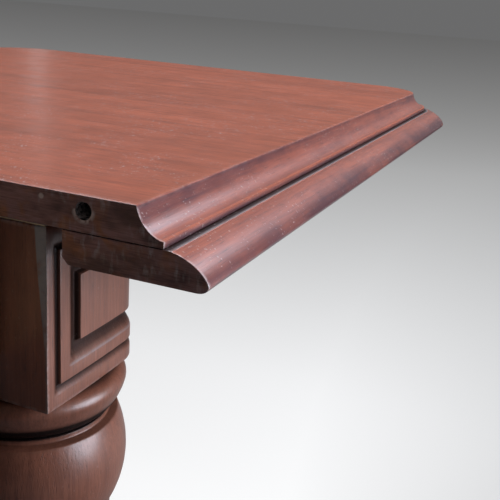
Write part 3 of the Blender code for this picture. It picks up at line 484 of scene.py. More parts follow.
def glazed_china():
    """White glazed china with fine lines and stains in its glaze."""
    finish = bpy.context.scene.table_finish
    china = Shader("castor_china", coat_weight=0.6, coat_roughness=0.08)
    feeds = (("Vector", china.place()), ("Scale", 420))
    crack = china.node("TexVoronoi", feeds, feature="DISTANCE_TO_EDGE").outputs["Distance"]
    stain = china.fade(china.noise((1, 1, 1), scale=120, detail=3), 0.45, 0.75, end=0.4)
    lines = china.times(china.fade(crack, 0.03, 0), finish.craze_depth)
    china.set("Base Color", china.mix(china.plus(stain, lines), finish.china, finish.crazing))
    china.set("Roughness", china.fade(stain, 0, 0.4, start=0.16, end=0.35))
    return china.made


def material(name):
    """A finish of the table, made the first time that it is asked for."""
    made = bpy.data.materials.get(name + "_finish")
    if made:
        return made
    finish = bpy.context.scene.table_finish
    if name == "mahogany_top":
        return polished_wood(name, finish.top_light, finish.top_dark, "Y", roughness=0.40,
                             coat=0.15, specks=0.9)
    if name.startswith("mahogany_moulding"):
        return polished_wood(name, finish.moulding_light, finish.moulding_dark, name[-1], roughness=0.36,
                             coat=0.9, specks=0.5)
    if name == "mahogany_leg":
        return polished_wood(name, finish.leg_light, finish.leg_dark, "Z", roughness=0.34,
                             coat=0.25, specks=0.08)
    if name == "mating_face":
        return mating_wood()
    if name == "socket_wood":
        return socket_wood()
    if name.startswith("beech_frame"):
        return raw_wood(name, finish.frame_light, finish.frame_dark, name[-1])
    if name == "raw_mahogany":
        return raw_wood(name, finish.raw_light, finish.raw_dark, "Y", 0.6)
    if name == "pale_wood":
        return raw_wood(name, finish.pale, finish.frame_light, "Y", 0.7)
    if name == "brass":
        return worn_metal(name, finish.brass, finish.tarnish, 0.28)
    if name == "steel":
        return worn_metal(name, finish.steel, finish.tarnish, 0.34)
    if name == "castor_china":
        return glazed_china()
    raise ValueError("there is no finish named " + name)


def node_tree(name, *sockets):
    """An empty Geometry Nodes tree with a geometry input and output and the inputs that are named."""
    tree = bpy.data.node_groups.new(name, "GeometryNodeTree")
    tree.interface.new_socket("Geometry", in_out="INPUT", socket_type="NodeSocketGeometry")
    for label, kind in sockets:
        tree.interface.new_socket(label, in_out="INPUT", socket_type="NodeSocket" + kind)
    tree.interface.new_socket("Geometry", in_out="OUTPUT", socket_type="NodeSocketGeometry")
    return tree, tree.nodes.new("NodeGroupInput").outputs


def chained(tree, kind, feeds, **settings):
    """Adds a node of a Geometry Nodes tree, feeds its inputs and returns its first output."""
    made = tree.nodes.new(kind)
    for key, value in settings.items():
        setattr(made, key, value)
    for label, value in feeds:
        if isinstance(value, bpy.types.NodeSocket):
            tree.links.new(value, made.inputs[label])
        else:
            made.inputs[label].default_value = value
    return made.outputs[0]


def finished(tree, geometry, finish):
    """Ends a tree: instances are made real and take their material."""
    real = chained(tree, "GeometryNodeRealizeInstances", (("Geometry", geometry),))
    dressed = chained(tree, "GeometryNodeSetMaterial", (("Geometry", real), ("Material", finish)))
    tree.links.new(dressed, tree.nodes.new("NodeGroupOutput").inputs[0])
    return tree


def moulding_tree():
    """Sweeps a section round a table's edge: the path's corners are rounded and a stretch of it is kept."""
    tree, given = node_tree("table_moulding", ("Section", "Object"), ("Corner Radius", "Float"),
                            ("Corner Steps", "Int"), ("Start", "Float"), ("End", "Float"),
                            ("Material", "Material"))
    path = chained(tree, "GeometryNodeMeshToCurve", (("Mesh", given["Geometry"]),))
    path = chained(tree, "GeometryNodeFilletCurve", (
        ("Curve", path), ("Count", given["Corner Steps"]), ("Radius", given["Corner Radius"])), mode="POLY")
    path = chained(tree, "GeometryNodeTrimCurve", (("Curve", path), (4, given["Start"]), (5, given["End"])),
                   mode="LENGTH")
    section = tree.nodes.new("GeometryNodeObjectInfo")
    tree.links.new(given["Section"], section.inputs["Object"])
    outline = chained(tree, "GeometryNodeMeshToCurve", (("Mesh", section.outputs["Geometry"]),))
    swept = chained(tree, "GeometryNodeCurveToMesh", (
        ("Curve", path), ("Profile Curve", outline), ("Fill Caps", True)))
    return finished(tree, swept, given["Material"])


def turning_tree():
    """Turns a profile of radius and height about the Z axis, as a lathe does."""
    tree, given = node_tree("turning", ("Sides", "Int"), ("Material", "Material"))
    where = chained(tree, "GeometryNodeInputPosition", ())
    apart = tree.nodes.new("ShaderNodeSeparateXYZ")
    tree.links.new(where, apart.inputs[0])
    across = chained(tree, "ShaderNodeMath", ((0, apart.outputs["X"]), (1, hub)), operation="SUBTRACT")
    down = chained(tree, "ShaderNodeMath", ((0, apart.outputs["Z"]), (1, -1.0)), operation="MULTIPLY")
    laid = chained(tree, "ShaderNodeCombineXYZ", (("X", across), ("Y", down)))
    profile = chained(tree, "GeometryNodeSetPosition", (("Geometry", given["Geometry"]), ("Position", laid)))
    profile = chained(tree, "GeometryNodeMeshToCurve", (("Mesh", profile),))
    circle = chained(tree, "GeometryNodeCurvePrimitiveCircle", (
        ("Resolution", given["Sides"]), ("Radius", hub)), mode="RADIUS")
    turned = chained(tree, "GeometryNodeCurveToMesh", (("Curve", circle), ("Profile Curve", profile)))
    welded = chained(tree, "GeometryNodeMergeByDistance", (("Geometry", turned), ("Distance", seam)))
    return finished(tree, welded, given["Material"])


def row_tree():
    """Sets copies of one piece at even steps along a path."""
    tree, given = node_tree("row_of_pieces", ("Piece", "Object"), ("Spacing", "Float"),
                            ("Material", "Material"))
    path = chained(tree, "GeometryNodeMeshToCurve", (("Mesh", given["Geometry"]),))
    points = chained(tree, "GeometryNodeCurveToPoints", (("Curve", path), ("Length", given["Spacing"])),
                     mode="LENGTH")
    piece = tree.nodes.new("GeometryNodeObjectInfo")
    tree.links.new(given["Piece"], piece.inputs["Object"])
    spread = chained(tree, "GeometryNodeInstanceOnPoints", (
        ("Points", points), ("Instance", piece.outputs["Geometry"])))
    return finished(tree, spread, given["Material"])


trees = {"moulding": moulding_tree, "turning": turning_tree, "row": row_tree}


def strand(name, points, closed=False, **layers):
    """A helper object whose mesh is a line through points, with a value for each point in each layer."""
    mesh = bpy.data.meshes.new(name)
    links = [(k, k + 1) for k in range(len(points) - 1)]
    mesh.from_pydata(points, links + [(len(points) - 1, 0)] if closed else links, [])
    for layer, values in layers.items():
        mesh.attributes.new(layer, "FLOAT", "POINT").data.foreach_set("value", values)
    made = bpy.data.objects.new(name, mesh)
    bpy.context.collection.objects.link(made)
    return made


def grown(seed, kind, **inputs):
    """The mesh that a Geometry Nodes tree makes of a helper object, which is then removed."""
    tree = bpy.data.node_groups.get(kind) or trees[kind]()
    tree.name = kind
    change = seed.modifiers.new(kind, "NODES")
    change.node_group = tree
    for socket in tree.interface.items_tree:
        label = socket.name.lower().replace(" ", "_")
        if socket.in_out == "INPUT" and label in inputs:
            change[socket.identifier] = inputs[label]
    mesh = bpy.data.meshes.new_from_object(seed.evaluated_get(bpy.context.evaluated_depsgraph_get()))
    discard(seed)
    return tidy(mesh)


def discard(*helpers):
    for helper in helpers:
        bpy.data.objects.remove(helper, do_unlink=True)


def tidy(mesh):
    """Merges doubled points and turns every face outwards."""
    work = bmesh.new()
    work.from_mesh(mesh)
    bmesh.ops.remove_doubles(work, verts=work.verts, dist=seam)
    bmesh.ops.recalc_face_normals(work, faces=work.faces)
    work.to_mesh(mesh)
    work.free()
    return mesh


def rounded(points, radius, steps=3, closed=False, sharpest=radians(18), side_share=0.4):
    """Points of a plane outline with its corners rounded, and less where their sides are short."""
    made = []
    for k, point in enumerate(points):
        here = Vector(point)
        before, after = Vector(points[k - 1]) - here, Vector(points[(k + 1) % len(points)]) - here
        inner = closed or 0 < k < len(points) - 1
        turn = pi - before.angle(after) if inner and before.length and after.length else 0
        if turn < sharpest:
            made.append(tuple(here))
            continue
        reach = min(radius, before.length * side_share, after.length * side_share)
        start, end = here + before.normalized() * reach, here + after.normalized() * reach
        for step in range(steps + 1):
            share = step / steps
            made.append(tuple(start * (1 - share) ** 2 + here * 2 * share * (1 - share) + end * share**2))
    return made


def quadrant(reach, drop, power, steps):
    """Points of a quarter superellipse: from (0, drop) out to (reach, 0), power 2 being an ellipse."""
    angles = [pi / 2 * k / steps for k in range(steps + 1)]
    return [(reach * sin(t) ** (2 / power), drop * cos(t) ** (2 / power)) for t in angles]


def ringed(rings, layers=None):
    """A closed mesh through rings of points, top first, each turning anticlockwise seen from +Z."""
    work = bmesh.new()
    slots = {name: work.verts.layers.float.new(name) for name in layers or ()}
    loops = []
    for k, ring in enumerate(rings):
        loops.append([work.verts.new(point) for point in ring])
        for name, slot in slots.items():
            for j, vert in enumerate(loops[-1]):
                vert[slot] = layers[name][k][j]
    for upper, lower in zip(loops, loops[1:]):
        for j in range(len(upper)):
            work.faces.new((upper[j - 1], lower[j - 1], lower[j], upper[j]))
    work.faces.new(loops[0])
    work.faces.new(reversed(loops[-1]))
    mesh = bpy.data.meshes.new("ringed")
    work.to_mesh(mesh)
    work.free()
    return mesh


def cut(base, *steps):
    """The mesh left when each (operation, tool mesh) has been joined to or cut from a base mesh."""
    work = bpy.data.objects.new("work", base)
    bpy.context.collection.objects.link(work)
    tools = []
    for operation, tool in steps:
        helper = bpy.data.objects.new("tool", tool)
        bpy.context.collection.objects.link(helper)
        change = work.modifiers.new(operation.lower(), "BOOLEAN")
        change.operation, change.solver, change.object = operation, "EXACT", helper
        change.material_mode = "TRANSFER"
        tools.append(helper)
    result = bpy.data.meshes.new_from_object(work.evaluated_get(bpy.context.evaluated_depsgraph_get()))
    discard(work, *tools)
    return result


def lathe(points, finish, sides=None, soften=0.0, **layers):
    """A turned mesh from a profile of radius and height, its corners softened."""
    if soften:
        points = rounded(points, soften)
    seed = strand("profile", [(radius, 0, height) for radius, height in points], **layers)
    sides = sides or bpy.context.scene.table_fittings.sides
    return grown(seed, "turning", sides=sides, material=material(finish))


def half_place(turn):
    return Matrix.Rotation(turn, 4, "Z") @ Matrix.Translation((mate_x, 0, 0))


def leg_place(side_x, side_y, quarter):
    spot = Vector((side_x * leg_centre.x, -side_y * leg_centre.y, 0))
    return Matrix.Translation(spot) @ Matrix.Rotation(quarter * pi / 2, 4, "Z")


def add_piece(name, mesh, body, replaced=(), place=None, sharp=radians(32)):
    """Adds a finished piece, with its place in its mesh, hangs it on its body and hides the parts that it
    replaces.
    """
    mesh = mesh.copy()
    mesh.name = name
    if place:
        mesh.transform(place)
    mesh.shade_smooth()
    mesh.set_sharp_from_angle(angle=sharp)
    made = bpy.data.objects.new(name, mesh)
    bpy.context.collection.objects.link(made)
    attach(made, body)
    if replaced:
        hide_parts(*replaced)
    return made


def paint(mesh, finish, chosen=None):
    """Gives a mesh a material, or gives it to the faces that a test of centre and normal picks."""
    mesh.materials.append(material(finish))
    index = len(mesh.materials) - 1
    for face in mesh.polygons:
        if chosen is None or chosen(face.center, face.normal):
            face.material_index = index


def eased_copy(node, finish, ease):
    """A CAD node's mesh with its doubles merged, its flat faces made whole and its edges eased."""
    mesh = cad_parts[node].data.copy()
    work = bmesh.new()
    work.from_mesh(mesh)
    bmesh.ops.remove_doubles(work, verts=work.verts, dist=seam)
    bmesh.ops.dissolve_limit(work, angle_limit=radians(1), verts=work.verts, edges=work.edges)
    sharp = [edge for edge in work.edges if edge.calc_face_angle(0) > radians(25)]
    bmesh.ops.bevel(work, geom=sharp, offset=ease, segments=2, profile=0.5, affect="EDGES",
                    clamp_overlap=True)
    work.to_mesh(mesh)
    work.free()
    mesh.materials.clear()
    mesh.materials.append(material(finish))
    for face in mesh.polygons:
        face.material_index = 0
    return mesh


def cove_profile(top):
    """Reach and depth down the board's moulded edge, with its arris worn round."""
    wear = top.arris_wear
    cove = [(top.cove_reach - x, y)
            for x, y in reversed(quadrant(top.cove_reach, top.cove_drop, top.cove_power, top.cove_steps))]
    worn = [(-top.wear_spread, 0), (-wear, 0), (-wear * 0.3, wear * 0.3)]
    return worn + [(x, y) for x, y in cove if y > wear]


def board_mesh():
    """Top board: worn arris, cove on three sides, sockets in its mating face and pilot holes under it."""
    top = bpy.context.scene.table_top
    half_length = board_high.x - mate_x - top.cove_reach
    half_width = board_high.y - top.cove_reach
    thickness = table_height - board_low.z
    profile = cove_profile(top) + [(top.cove_reach, thickness - top.edge_round),
                                   (top.cove_reach - top.edge_round, thickness)]
    rings, wears, painted_shade_rings, dirt_and_shade_rings = [], [], [], []
    for reach, depth in profile:
        setback = max(0, -reach, depth - (thickness - top.edge_round))
        radius = top.corner_radius + reach
        turns = [pi / 2 * k / top.corner_steps for k in range(top.corner_steps + 1)]
        right = [(half_length - top.corner_radius + radius * sin(t),
                  top.corner_radius - half_width - radius * cos(t)) for t in turns]
        near = [(setback + step, -half_width - reach) for step in (0, top.arris_wear, top.wear_spread)]
        side = near + right
        outline = side + [(x, -y) for x, y in reversed(side)]
        rings.append([Vector((x, y, table_height - depth)) for x, y in outline])
        near_arris = 1 - abs(depth - top.arris_wear / 2) / (1.6 * top.arris_wear)
        arris = top.arris_rub * max(0, near_arris) if reach > -top.wear_spread else 0
        rubbed = 1 if depth > top.arris_wear else top.sawn_rub
        end = [rubbed, 0.8 * rubbed, 0] + [0] * len(right)
        wears.append([max(arris, value) for value in end + end[::-1]])
        # Tone is painted shade: darkest at the cove's top, fading to none at its foot, and full under it.
        fade = 1 - depth / top.cove_drop if depth < top.cove_drop + seam else 1.2
        painted_shade_rings.append([max(0, fade) if reach >= 0 else 0] * len(outline))
        # Painted shade under the cove's foot.
        dirt_and_shade_rings.append([top.cove_dirt if depth > top.cove_drop else 0] * len(outline))
    mesh = ringed(rings, {"wear": wears, "tone": painted_shade_rings, "dirt": dirt_and_shade_rings})
    paint(mesh, "mahogany_top")
    paint(mesh, "mating_face", lambda centre, normal: normal.x < -facing)
    paint(mesh, "mahogany_moulding_X", lambda centre, normal: abs(normal.z) < flat and normal.x > -facing)
    paint(mesh, "raw_mahogany", lambda centre, normal: normal.z < -flat)
    outer, height = half_width - top.socket_inset, table_height - top.socket_below
    radius, worn, depth = top.socket_radius, top.socket_worn, top.socket_depth
    steps = []
    for y in (-outer, 0, outer):
        hole = lathe([(0, worn), (radius + worn, worn), (radius, -worn / 2), (radius, -depth), (0, -depth)],
                     "socket_wood")
        hole.transform(Matrix.Translation((0, y, height)) @ Matrix.Rotation(-pi / 2, 4, "Y"))
        steps.append(("DIFFERENCE", hole))
    screw_y = (screw_low.y + screw_high.y) / 2
    radius, depth = top.screw_hole, top.screw_depth
    for y in (screw_y, -screw_y):
        hole = lathe([(0, depth), (radius, depth), (radius, -depth), (0, -depth)], "beech_frame_X")
        hole.transform(Matrix.Translation((top.screw_inset, y, board_low.z)))
        steps.append(("DIFFERENCE", hole))
    mesh = cut(mesh, *steps)
    for vert in mesh.vertices:
        across = min(Vector((vert.co.y - y, vert.co.z - height)).length for y in (-outer, 0, outer))
        if across < top.socket_radius + 2 * top.socket_worn:
            mesh.attributes["wear"].data[vert.index].value = vert.co.x < top.socket_worn
    return mesh


class TABLE_OT_boards(bpy.types.Operator):
    """Adds the two top boards, with their coves, worn arrises and dowel sockets"""

    bl_idname = "table.boards"
    bl_label = "Top boards"

    def execute(self, context):
        mesh = board_mesh()
        for name, turn in half_turns:
            node = name + "_board"
            add_piece(name + "_top", mesh, name, (node,), half_place(turn),
                      sharp=radians(40))
        return {"FINISHED"}


def rim_section(top):
    """Reach and depth round a rim's section, and at each point its wear (partly a painted highlight at the
    lip), its tone (painted shade down the thumb), its darkening in the ledge's corner (painted shade with
    some old wax) and how dusty its ledge is.
    """
    start, foot = table_height - rim_high.z, table_height - rim_low.z
    inner = -(rim_high.y + board_high.y - top.cove_reach)
    nose = top.thumb_start + top.thumb_reach
    drop = foot - start - top.thumb_lip - top.nose_drop
    thumb = [(top.thumb_start + x, foot - top.nose_drop - y)
             for x, y in quadrant(top.thumb_reach, drop, top.thumb_power, top.thumb_steps)]
    tuck = [(nose - top.nose_tuck + x, foot - top.nose_drop + y)
            for x, y in reversed(quadrant(top.nose_tuck, top.nose_drop, 2, top.nose_steps))][1:]
    ledge = (top.cove_reach + top.thumb_start) / 2
    points = [(top.cove_reach - top.wear_spread, start), (top.cove_reach, start), (ledge, start),
              (top.thumb_start, start), *thumb, *tuck,
              (inner + top.inner_round, foot), (inner, foot - top.inner_round), (inner, start)]
    points = rounded(points, top.edge_round, closed=True, sharpest=radians(38))
    lip = Vector((top.thumb_start, start))
    layers = {"wear": [], "tone": [], "dirt": [], "dust": []}
    for x, y in points:
        down, on_ledge = (y - start - top.thumb_lip) / (foot - start), y < start + seam
        # The pale line along the ledge's edge is partly rubbed polish and partly a painted highlight where
        # the edge catches the light.
        layers["wear"].append(max(0, 0.5 - (Vector((x, y)) - lip).length / top.arris_wear))
        # Tone is painted shade: the thumb moulding darkens down towards its nose and underside.
        layers["tone"].append(min(1, max(0, down * top.thumb_shading - top.thumb_paleness)))
        # Painted shade with some old wax in the ledge's inner corner.
        layers["dirt"].append(top.ledge_dirt if on_ledge and x < ledge else 0)
        layers["dust"].append(top.ledge_dust if on_ledge and ledge - seam < x < top.thumb_start else 0)
    return points, layers


def rim_mesh(which, axis):
    """One length of the moulded rim: 0 is the right side, 1 the far end and 2 the left side."""
    top = bpy.context.scene.table_top
    half_length = board_high.x - mate_x - top.cove_reach
    half_width = board_high.y - top.cove_reach
    straight, arc = half_length - top.corner_radius, pi / 4 * top.corner_radius
    total = 2 * (straight + half_width - top.corner_radius) + 4 * arc
    gap = top.edge_round / 2
    mitre = straight + arc
    start, end = ((0, mitre), (mitre + gap, total - mitre - gap), (total - mitre, total))[which]
    side = [(x, -half_width, table_height) for x in (0, half_length)]
    path = strand("edge", side + [(x, -y, z) for x, y, z in reversed(side)])
    points, layers = rim_section(top)
    section = strand("section", [(x, y, 0) for x, y in points], closed=True, **layers)
    finish = "mahogany_moulding_" + axis
    mesh = grown(path, "moulding", section=section, corner_radius=top.corner_radius,
                 corner_steps=top.corner_steps, start=start, end=end, material=material(finish))
    discard(section)
    paint(mesh, "raw_mahogany", lambda centre, normal: normal.z < -flat)
    if which != 1:
        wear_end(mesh, top)
        paint(mesh, "mating_face", lambda centre, normal: normal.x < -facing and centre.x < top.edge_round)
    return mesh


def wear_end(mesh, top):
    """Rounds the edges of the sawn end at x = 0 a little and rubs the polish off beside them."""
    work = bmesh.new()
    work.from_mesh(mesh)
    ends = [edge for edge in work.edges if all(vert.co.x < seam for vert in edge.verts)]
    bmesh.ops.bevel(work, geom=ends, offset=top.edge_round, segments=2, profile=0.5, affect="EDGES")
    everything = [*work.verts, *work.edges, *work.faces]
    for spread in (top.arris_wear, top.wear_spread):
        halves = bmesh.ops.bisect_plane(work, geom=everything, plane_co=(spread, 0, 0), plane_no=(1, 0, 0))
        everything = halves["geom"]
    rubbed = work.verts.layers.float["wear"]
    for vert in work.verts:
        vert[rubbed] = max(vert[rubbed], 1 - vert.co.x / top.wear_spread)
    work.to_mesh(mesh)
    work.free()


class TABLE_OT_rims(bpy.types.Operator):
    """Adds the moulded rims under the two boards, mitred at the far corners"""

    bl_idname = "table.rims"
    bl_label = "Moulded rims"

    def execute(self, context):
        for part, which, axis in (("rim_right", 0, "X"), ("rim_end", 1, "Y"), ("rim_left", 2, "X")):
            mesh = rim_mesh(which, axis)
            for name, turn in half_turns:
                node = name + "_" + part
                add_piece(name + "_moulding" + part[3:], mesh, name, (node,),
                          half_place(turn), sharp=radians(40))
        return {"FINISHED"}


def panel_profile(leg):
    """Distance into the panel and sink under the face: groove, flat band, deep groove and field."""
    band = leg.outer_groove_width + leg.bead_width
    field = leg.field_depth / leg.inner_groove_depth
    outer_shares = ((0, 0), (0.15, 0.1), (0.4, 0.4), (0.65, 0.8), (0.78, 1), (0.9, 0.8), (1, 0))
    inner_shares = ((0, 0.06), (0.14, 0.16), (0.38, 0.5), (0.62, 0.88), (0.76, 1), (0.88, 0.96),
                    (0.95, 0.6), (1, field))
    width, depth = leg.outer_groove_width, leg.outer_groove_depth
    steps = [(width * run, depth * sink) for run, sink in outer_shares] + [(band - leg.edge_worn, 0)]
    width, depth = leg.inner_groove_width, leg.inner_groove_depth
    return steps + [(band + width * run, depth * sink) for run, sink in inner_shares]


def between(table, value):
    """The value that a table of rising pairs gives at a place, held beyond its ends."""
    for (low, first), (high, second) in zip(table, table[1:]):
        if low <= value < high:
            return first + (second - first) * (value - low) / (high - low)
    return table[0][1] if value < table[0][0] else table[-1][1]


def block_path(leg, stops):
    """Run, place and outward direction at each stop round the block's two bowed outer faces."""
    half, face = leg.block_side / 2, leg.block_side - leg.corner_radius
    corner = pi / 2 * leg.corner_radius
    total = 2 * face + corner
    path = []
    for along in sorted({*stops, *(total - stop for stop in stops)}):
        turn = pi / 2 * min(1, max(0, (along - face) / corner))
        outward = Vector((sin(turn), -cos(turn), 0))
        run = min(along, total - along, face)
        bow = 4 * leg.bow * run / leg.block_side * (1 - run / leg.block_side)
        if along <= face:
            place = Vector((along - half, -half, 0))
        elif along >= face + corner:
            place = Vector((half, half - (total - along), 0))
        else:
            centre = Vector((half - leg.corner_radius, leg.corner_radius - half, 0))
            place = centre + leg.corner_radius * outward
        path.append((min(along, total - along), place + bow * outward, outward))
    return path


def block_mesh(leg):
    """Leg block: its panel runs round the rounded outer corner from face to face."""
    half, worn = leg.block_side / 2, leg.edge_worn
    steps = panel_profile(leg)
    edges = [run for run, sink in steps]
    band = leg.outer_groove_width + leg.bead_width
    face = leg.block_side - leg.corner_radius
    inner = leg.side_margin + edges[-1]
    stops = [0, worn, 3 * worn, *(leg.side_margin + edge for edge in edges)]
    stops += [inner + (face - inner) * k / 8 for k in range(1, 9)]
    stops += [face + pi / 4 * leg.corner_radius * k / 8 for k in range(1, 9)]
    path = block_path(leg, stops)
    top, bottom = leg_high.z, leg_high.z - leg.block_height
    panel_top, panel_foot = top - leg.top_margin, bottom + leg.foot_margin
    heights = [top, top - worn * 0.3, top - worn, top - 3 * worn, *(panel_top - edge for edge in edges)]
    heights += [*(panel_foot + edge for edge in reversed(edges)), bottom + 3 * worn, bottom + worn,
                bottom + worn * 0.3, bottom]
    rings, wears, dust_and_highlight_rings, dirt_and_shade_rings = [], [], [], []
    for z in heights:
        scuff = leg.scuff_width * max(0, 1 - (top - z) / leg.scuff_height) ** leg.scuff_power + worn
        level = min(panel_top - z, z - panel_foot)
        edge = max(0, worn - min(top - z, z - bottom))
        inset = worn - (worn**2 - edge**2) ** 0.5
        ring, wear, dust, dirt = [], [], [], []
        for along, place, outward in path:
            inside = min(level, along - leg.side_margin)
            sink = between(steps, inside) if inside > 0 else 0
            corner = Vector((place.x * (1 - inset / half), place.y * (1 - inset / half), z))
            if along < seam:
                corner += Vector((leg.scuff_tilt * scuff * (place.x < 0), 0, 0))
            ring.append(corner - sink * outward)
            wear.append(leg.edge_rub * max(0, 1 - min(along, top - z, z - bottom) / (3 * worn)))
            # Painted shade with some old wax: the grooves darken with their depth.
            in_outer, in_inner = 0 < inside < leg.outer_groove_width, band < inside < edges[-1]
            share = sink / (leg.outer_groove_depth if in_outer else leg.inner_groove_depth)
            dirt.append(min(leg.groove_dirt, leg.dirt_rise * share) if in_outer or in_inner else 0)
            # Painted highlight: a pale bluish grey along the band's lower edge in the lower run.
            low_run = z - panel_foot < min(panel_top - z, along - leg.side_margin)
            dust.append(leg.groove_dust if low_run and abs(inside - band) < worn / 4 else 0)
        near = half - inset
        ring += [Vector((half - 3 * worn, near, z)), Vector((-near, near, z)),
                 Vector((-near, scuff + worn - half, z)), Vector((-near, scuff - half, z))]
        rings.append(ring)
        rim = wear[len(wear) // 2]
        wears.append([*wear, rim, rim, rim, rim])
        scuffed = min(1, 2 * scuff / leg.scuff_width)
        dust_and_highlight_rings.append([scuffed, *dust[1:], 0, 0, 0, scuffed])
        dirt_and_shade_rings.append([*dirt, 0, 0, 0, 0])
    return ringed(rings, {"wear": wears, "dust": dust_and_highlight_rings, "dirt": dirt_and_shade_rings})


def eased(start, end, steps):
    """Points between two (radius, depth) pairs on a curve that runs upright at both ends."""
    shares = [k / steps for k in range(steps + 1)]
    return [(start[0] + (end[0] - start[0]) * (1 - cos(pi * s)) / 2, start[1] + (end[1] - start[1]) * s)
            for s in shares]


def turned_profile(leg):
    """Radius and depth under the top, from inside the block down to the toe in the castor cup."""
    block_foot = table_height - leg_high.z + leg.block_height
    swell = leg.cushion_radius - leg.cushion_foot_radius
    cushion_top = quadrant(swell, leg.cushion_widest - block_foot, 2, steps=8)
    cushion_foot = quadrant(swell, leg.cushion_foot - leg.cushion_widest, leg.cushion_power, steps=14)
    start = block_foot - leg.foot_margin / 2
    points = [(0, start), (leg.cushion_foot_radius, start)]
    points += [(leg.cushion_foot_radius + x, leg.cushion_widest - y) for x, y in cushion_top[:-1]]
    points += [(leg.cushion_foot_radius + x, leg.cushion_widest + y) for x, y in reversed(cushion_foot)]
    points += [(leg.groove_radius, leg.cushion_foot), (leg.groove_radius, leg.ring_top),
               (leg.ring_radius, leg.ring_top), (leg.ring_radius, leg.ring_foot)]
    steps = 32
    for k in range(steps + 1):
        depth = leg.bulb_top + (leg.bulb_foot - leg.bulb_top) * k / steps
        round_in = leg.bulb_curve - (leg.bulb_curve**2 - (depth - leg.bulb_widest) ** 2) ** 0.5
        points.append((leg.bulb_radius - round_in, depth))
    ankle = table_height - leg.ankle_height
    collar, neck = (leg.collar_radius, leg.collar_foot), (leg.neck_radius, leg.neck_depth)
    vase = (leg.vase_radius, leg.vase_widest)
    points += [(leg.collar_radius, leg.bulb_foot), collar, *eased(collar, neck, steps=12)[1:]]
    points += eased(neck, vase, steps=16)[1:] + eased(vase, (leg.ankle_radius, ankle), steps=28)[1:]
    swell, steps = leg.ankle_ring_radius - leg.ankle_radius, 12
    for k in range(1, steps + 1):
        turn = pi * k / steps
        depth = ankle + leg.ankle_ring_height / 2 * (1 - cos(turn))
        points.append((leg.ankle_radius + swell * sin(turn), depth))
    toe, bore = table_height - leg_low.z, leg.stem_bore
    return points + [(leg.foot_radius, table_height - cup_high.z), (leg.toe_radius, toe), (bore, toe),
                     (bore, toe - leg.stem_depth), (0, toe - leg.stem_depth)]


def mortises(leg):
    """Cutters for the rails' tenons in the block's two inner faces."""
    low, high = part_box("side_rail_right")
    inward = (low.y + high.y) / 2 - leg_low.y - (leg_high.y - leg_low.y) / 2
    end = high.x - leg_centre.x
    for turn in (0, 1):
        bar = bmesh.new()
        bmesh.ops.create_cube(bar, size=1)
        size = Matrix.Diagonal((leg.block_side, leg.tenon_width, leg.tenon_height, 1))
        place = Vector((end - leg.block_side / 2 + seam, inward, (low.z + high.z) / 2))
        if turn:
            place = Vector((-inward, -place.x, place.z))
            size = Matrix.Diagonal((leg.tenon_width, leg.block_side, leg.tenon_height, 1))
        bmesh.ops.transform(bar, matrix=Matrix.Translation(place) @ size, verts=bar.verts)
        tool = bpy.data.meshes.new("mortise")
        bar.to_mesh(tool)
        bar.free()
        tool.materials.append(material("raw_mahogany"))
        yield "DIFFERENCE", tool


def leg_mesh():
    """A whole leg round its own axis: panelled block, cushion, ring, bulb, collar, vase and ankle."""
    leg = bpy.context.scene.table_leg
    block = block_mesh(leg)
    paint(block, "mahogany_leg")
    block_foot = table_height - leg_high.z + leg.block_height
    spread = leg.dirt_spread
    # Painted shade with some old wax, by depth: a dark line under the block, the cushion's lower curve
    # darkened as its own shadow, the deep groove over the ring, and the creases under the ring and over the
    # collar.
    hollows = [(0, 1), (block_foot, 1), (block_foot + 0.8 * spread, 0),
               (leg.cushion_widest + 3.6 * spread, 0), (leg.cushion_widest + 4.8 * spread, 1),
               (leg.ring_top, 1), (leg.ring_top + spread / 2, 0),
               (leg.ring_foot - spread / 3, 0), (leg.ring_foot, leg.ring_dirt),
               (leg.bulb_top + spread / 2, 0), (leg.bulb_foot - spread, 0),
               (leg.bulb_foot, leg.collar_dirt), (leg.bulb_foot + spread, 0)]
    points = rounded(turned_profile(leg), leg.edge_worn, 4, sharpest=radians(24))
    turned = lathe([(radius, table_height - depth) for radius, depth in points], "mahogany_leg", leg.sides)
    mesh = cut(block, ("UNION", turned), *mortises(leg))
    # Below the block the layers are set afresh: no wear, no pale marks, and the painted shade by depth.
    for vert in mesh.vertices:
        depth = table_height - vert.co.z
        in_cushion = depth > block_foot - seam and vert.co.xy.length < leg.cushion_radius - seam
        if depth > block_foot + seam or in_cushion:
            for layer, value in (("wear", 0), ("dust", 0), ("dirt", between(hollows, depth))):
                mesh.attributes[layer].data[vert.index].value = value
    return mesh


class TABLE_OT_legs(bpy.types.Operator):
    """Adds the four legs, each a panelled block over a turned stem"""

    bl_idname = "table.legs"
    bl_label = "Legs"

    def execute(self, context):
        mesh = leg_mesh()
        for name, *spot in corners:
            add_piece("turned_leg_" + name, mesh, "base", ("leg_" + name,), leg_place(*spot))
        return {"FINISHED"}


def add_eased(nodes, body, finish, ease):
    for node in nodes:
        add_piece(node + "_finished", eased_copy(node, finish, ease), body, (node,))


class TABLE_OT_base_frame(bpy.types.Operator):
    """Adds the fixed frame: rails with their tenons, guides with their tongues, and the rub strips"""

    bl_idname = "table.base_frame"
    bl_label = "Base frame"

    def execute(self, context):
        ease = context.scene.table_fittings.wood_ease
        along = ("side_rail_right", "side_rail_left", "guide_right", "guide_left")
        across = ("end_rail_socket", "end_rail_dowel", "centre_rail")
        add_eased(along, "base", "beech_frame_X", ease)
        add_eased(across, "base", "beech_frame_Y", ease)
        strips = ["rub_strip_" + name for name, *_ in corners]
        add_eased(strips, "base", "pale_wood", ease / 3)
        return {"FINISHED"}


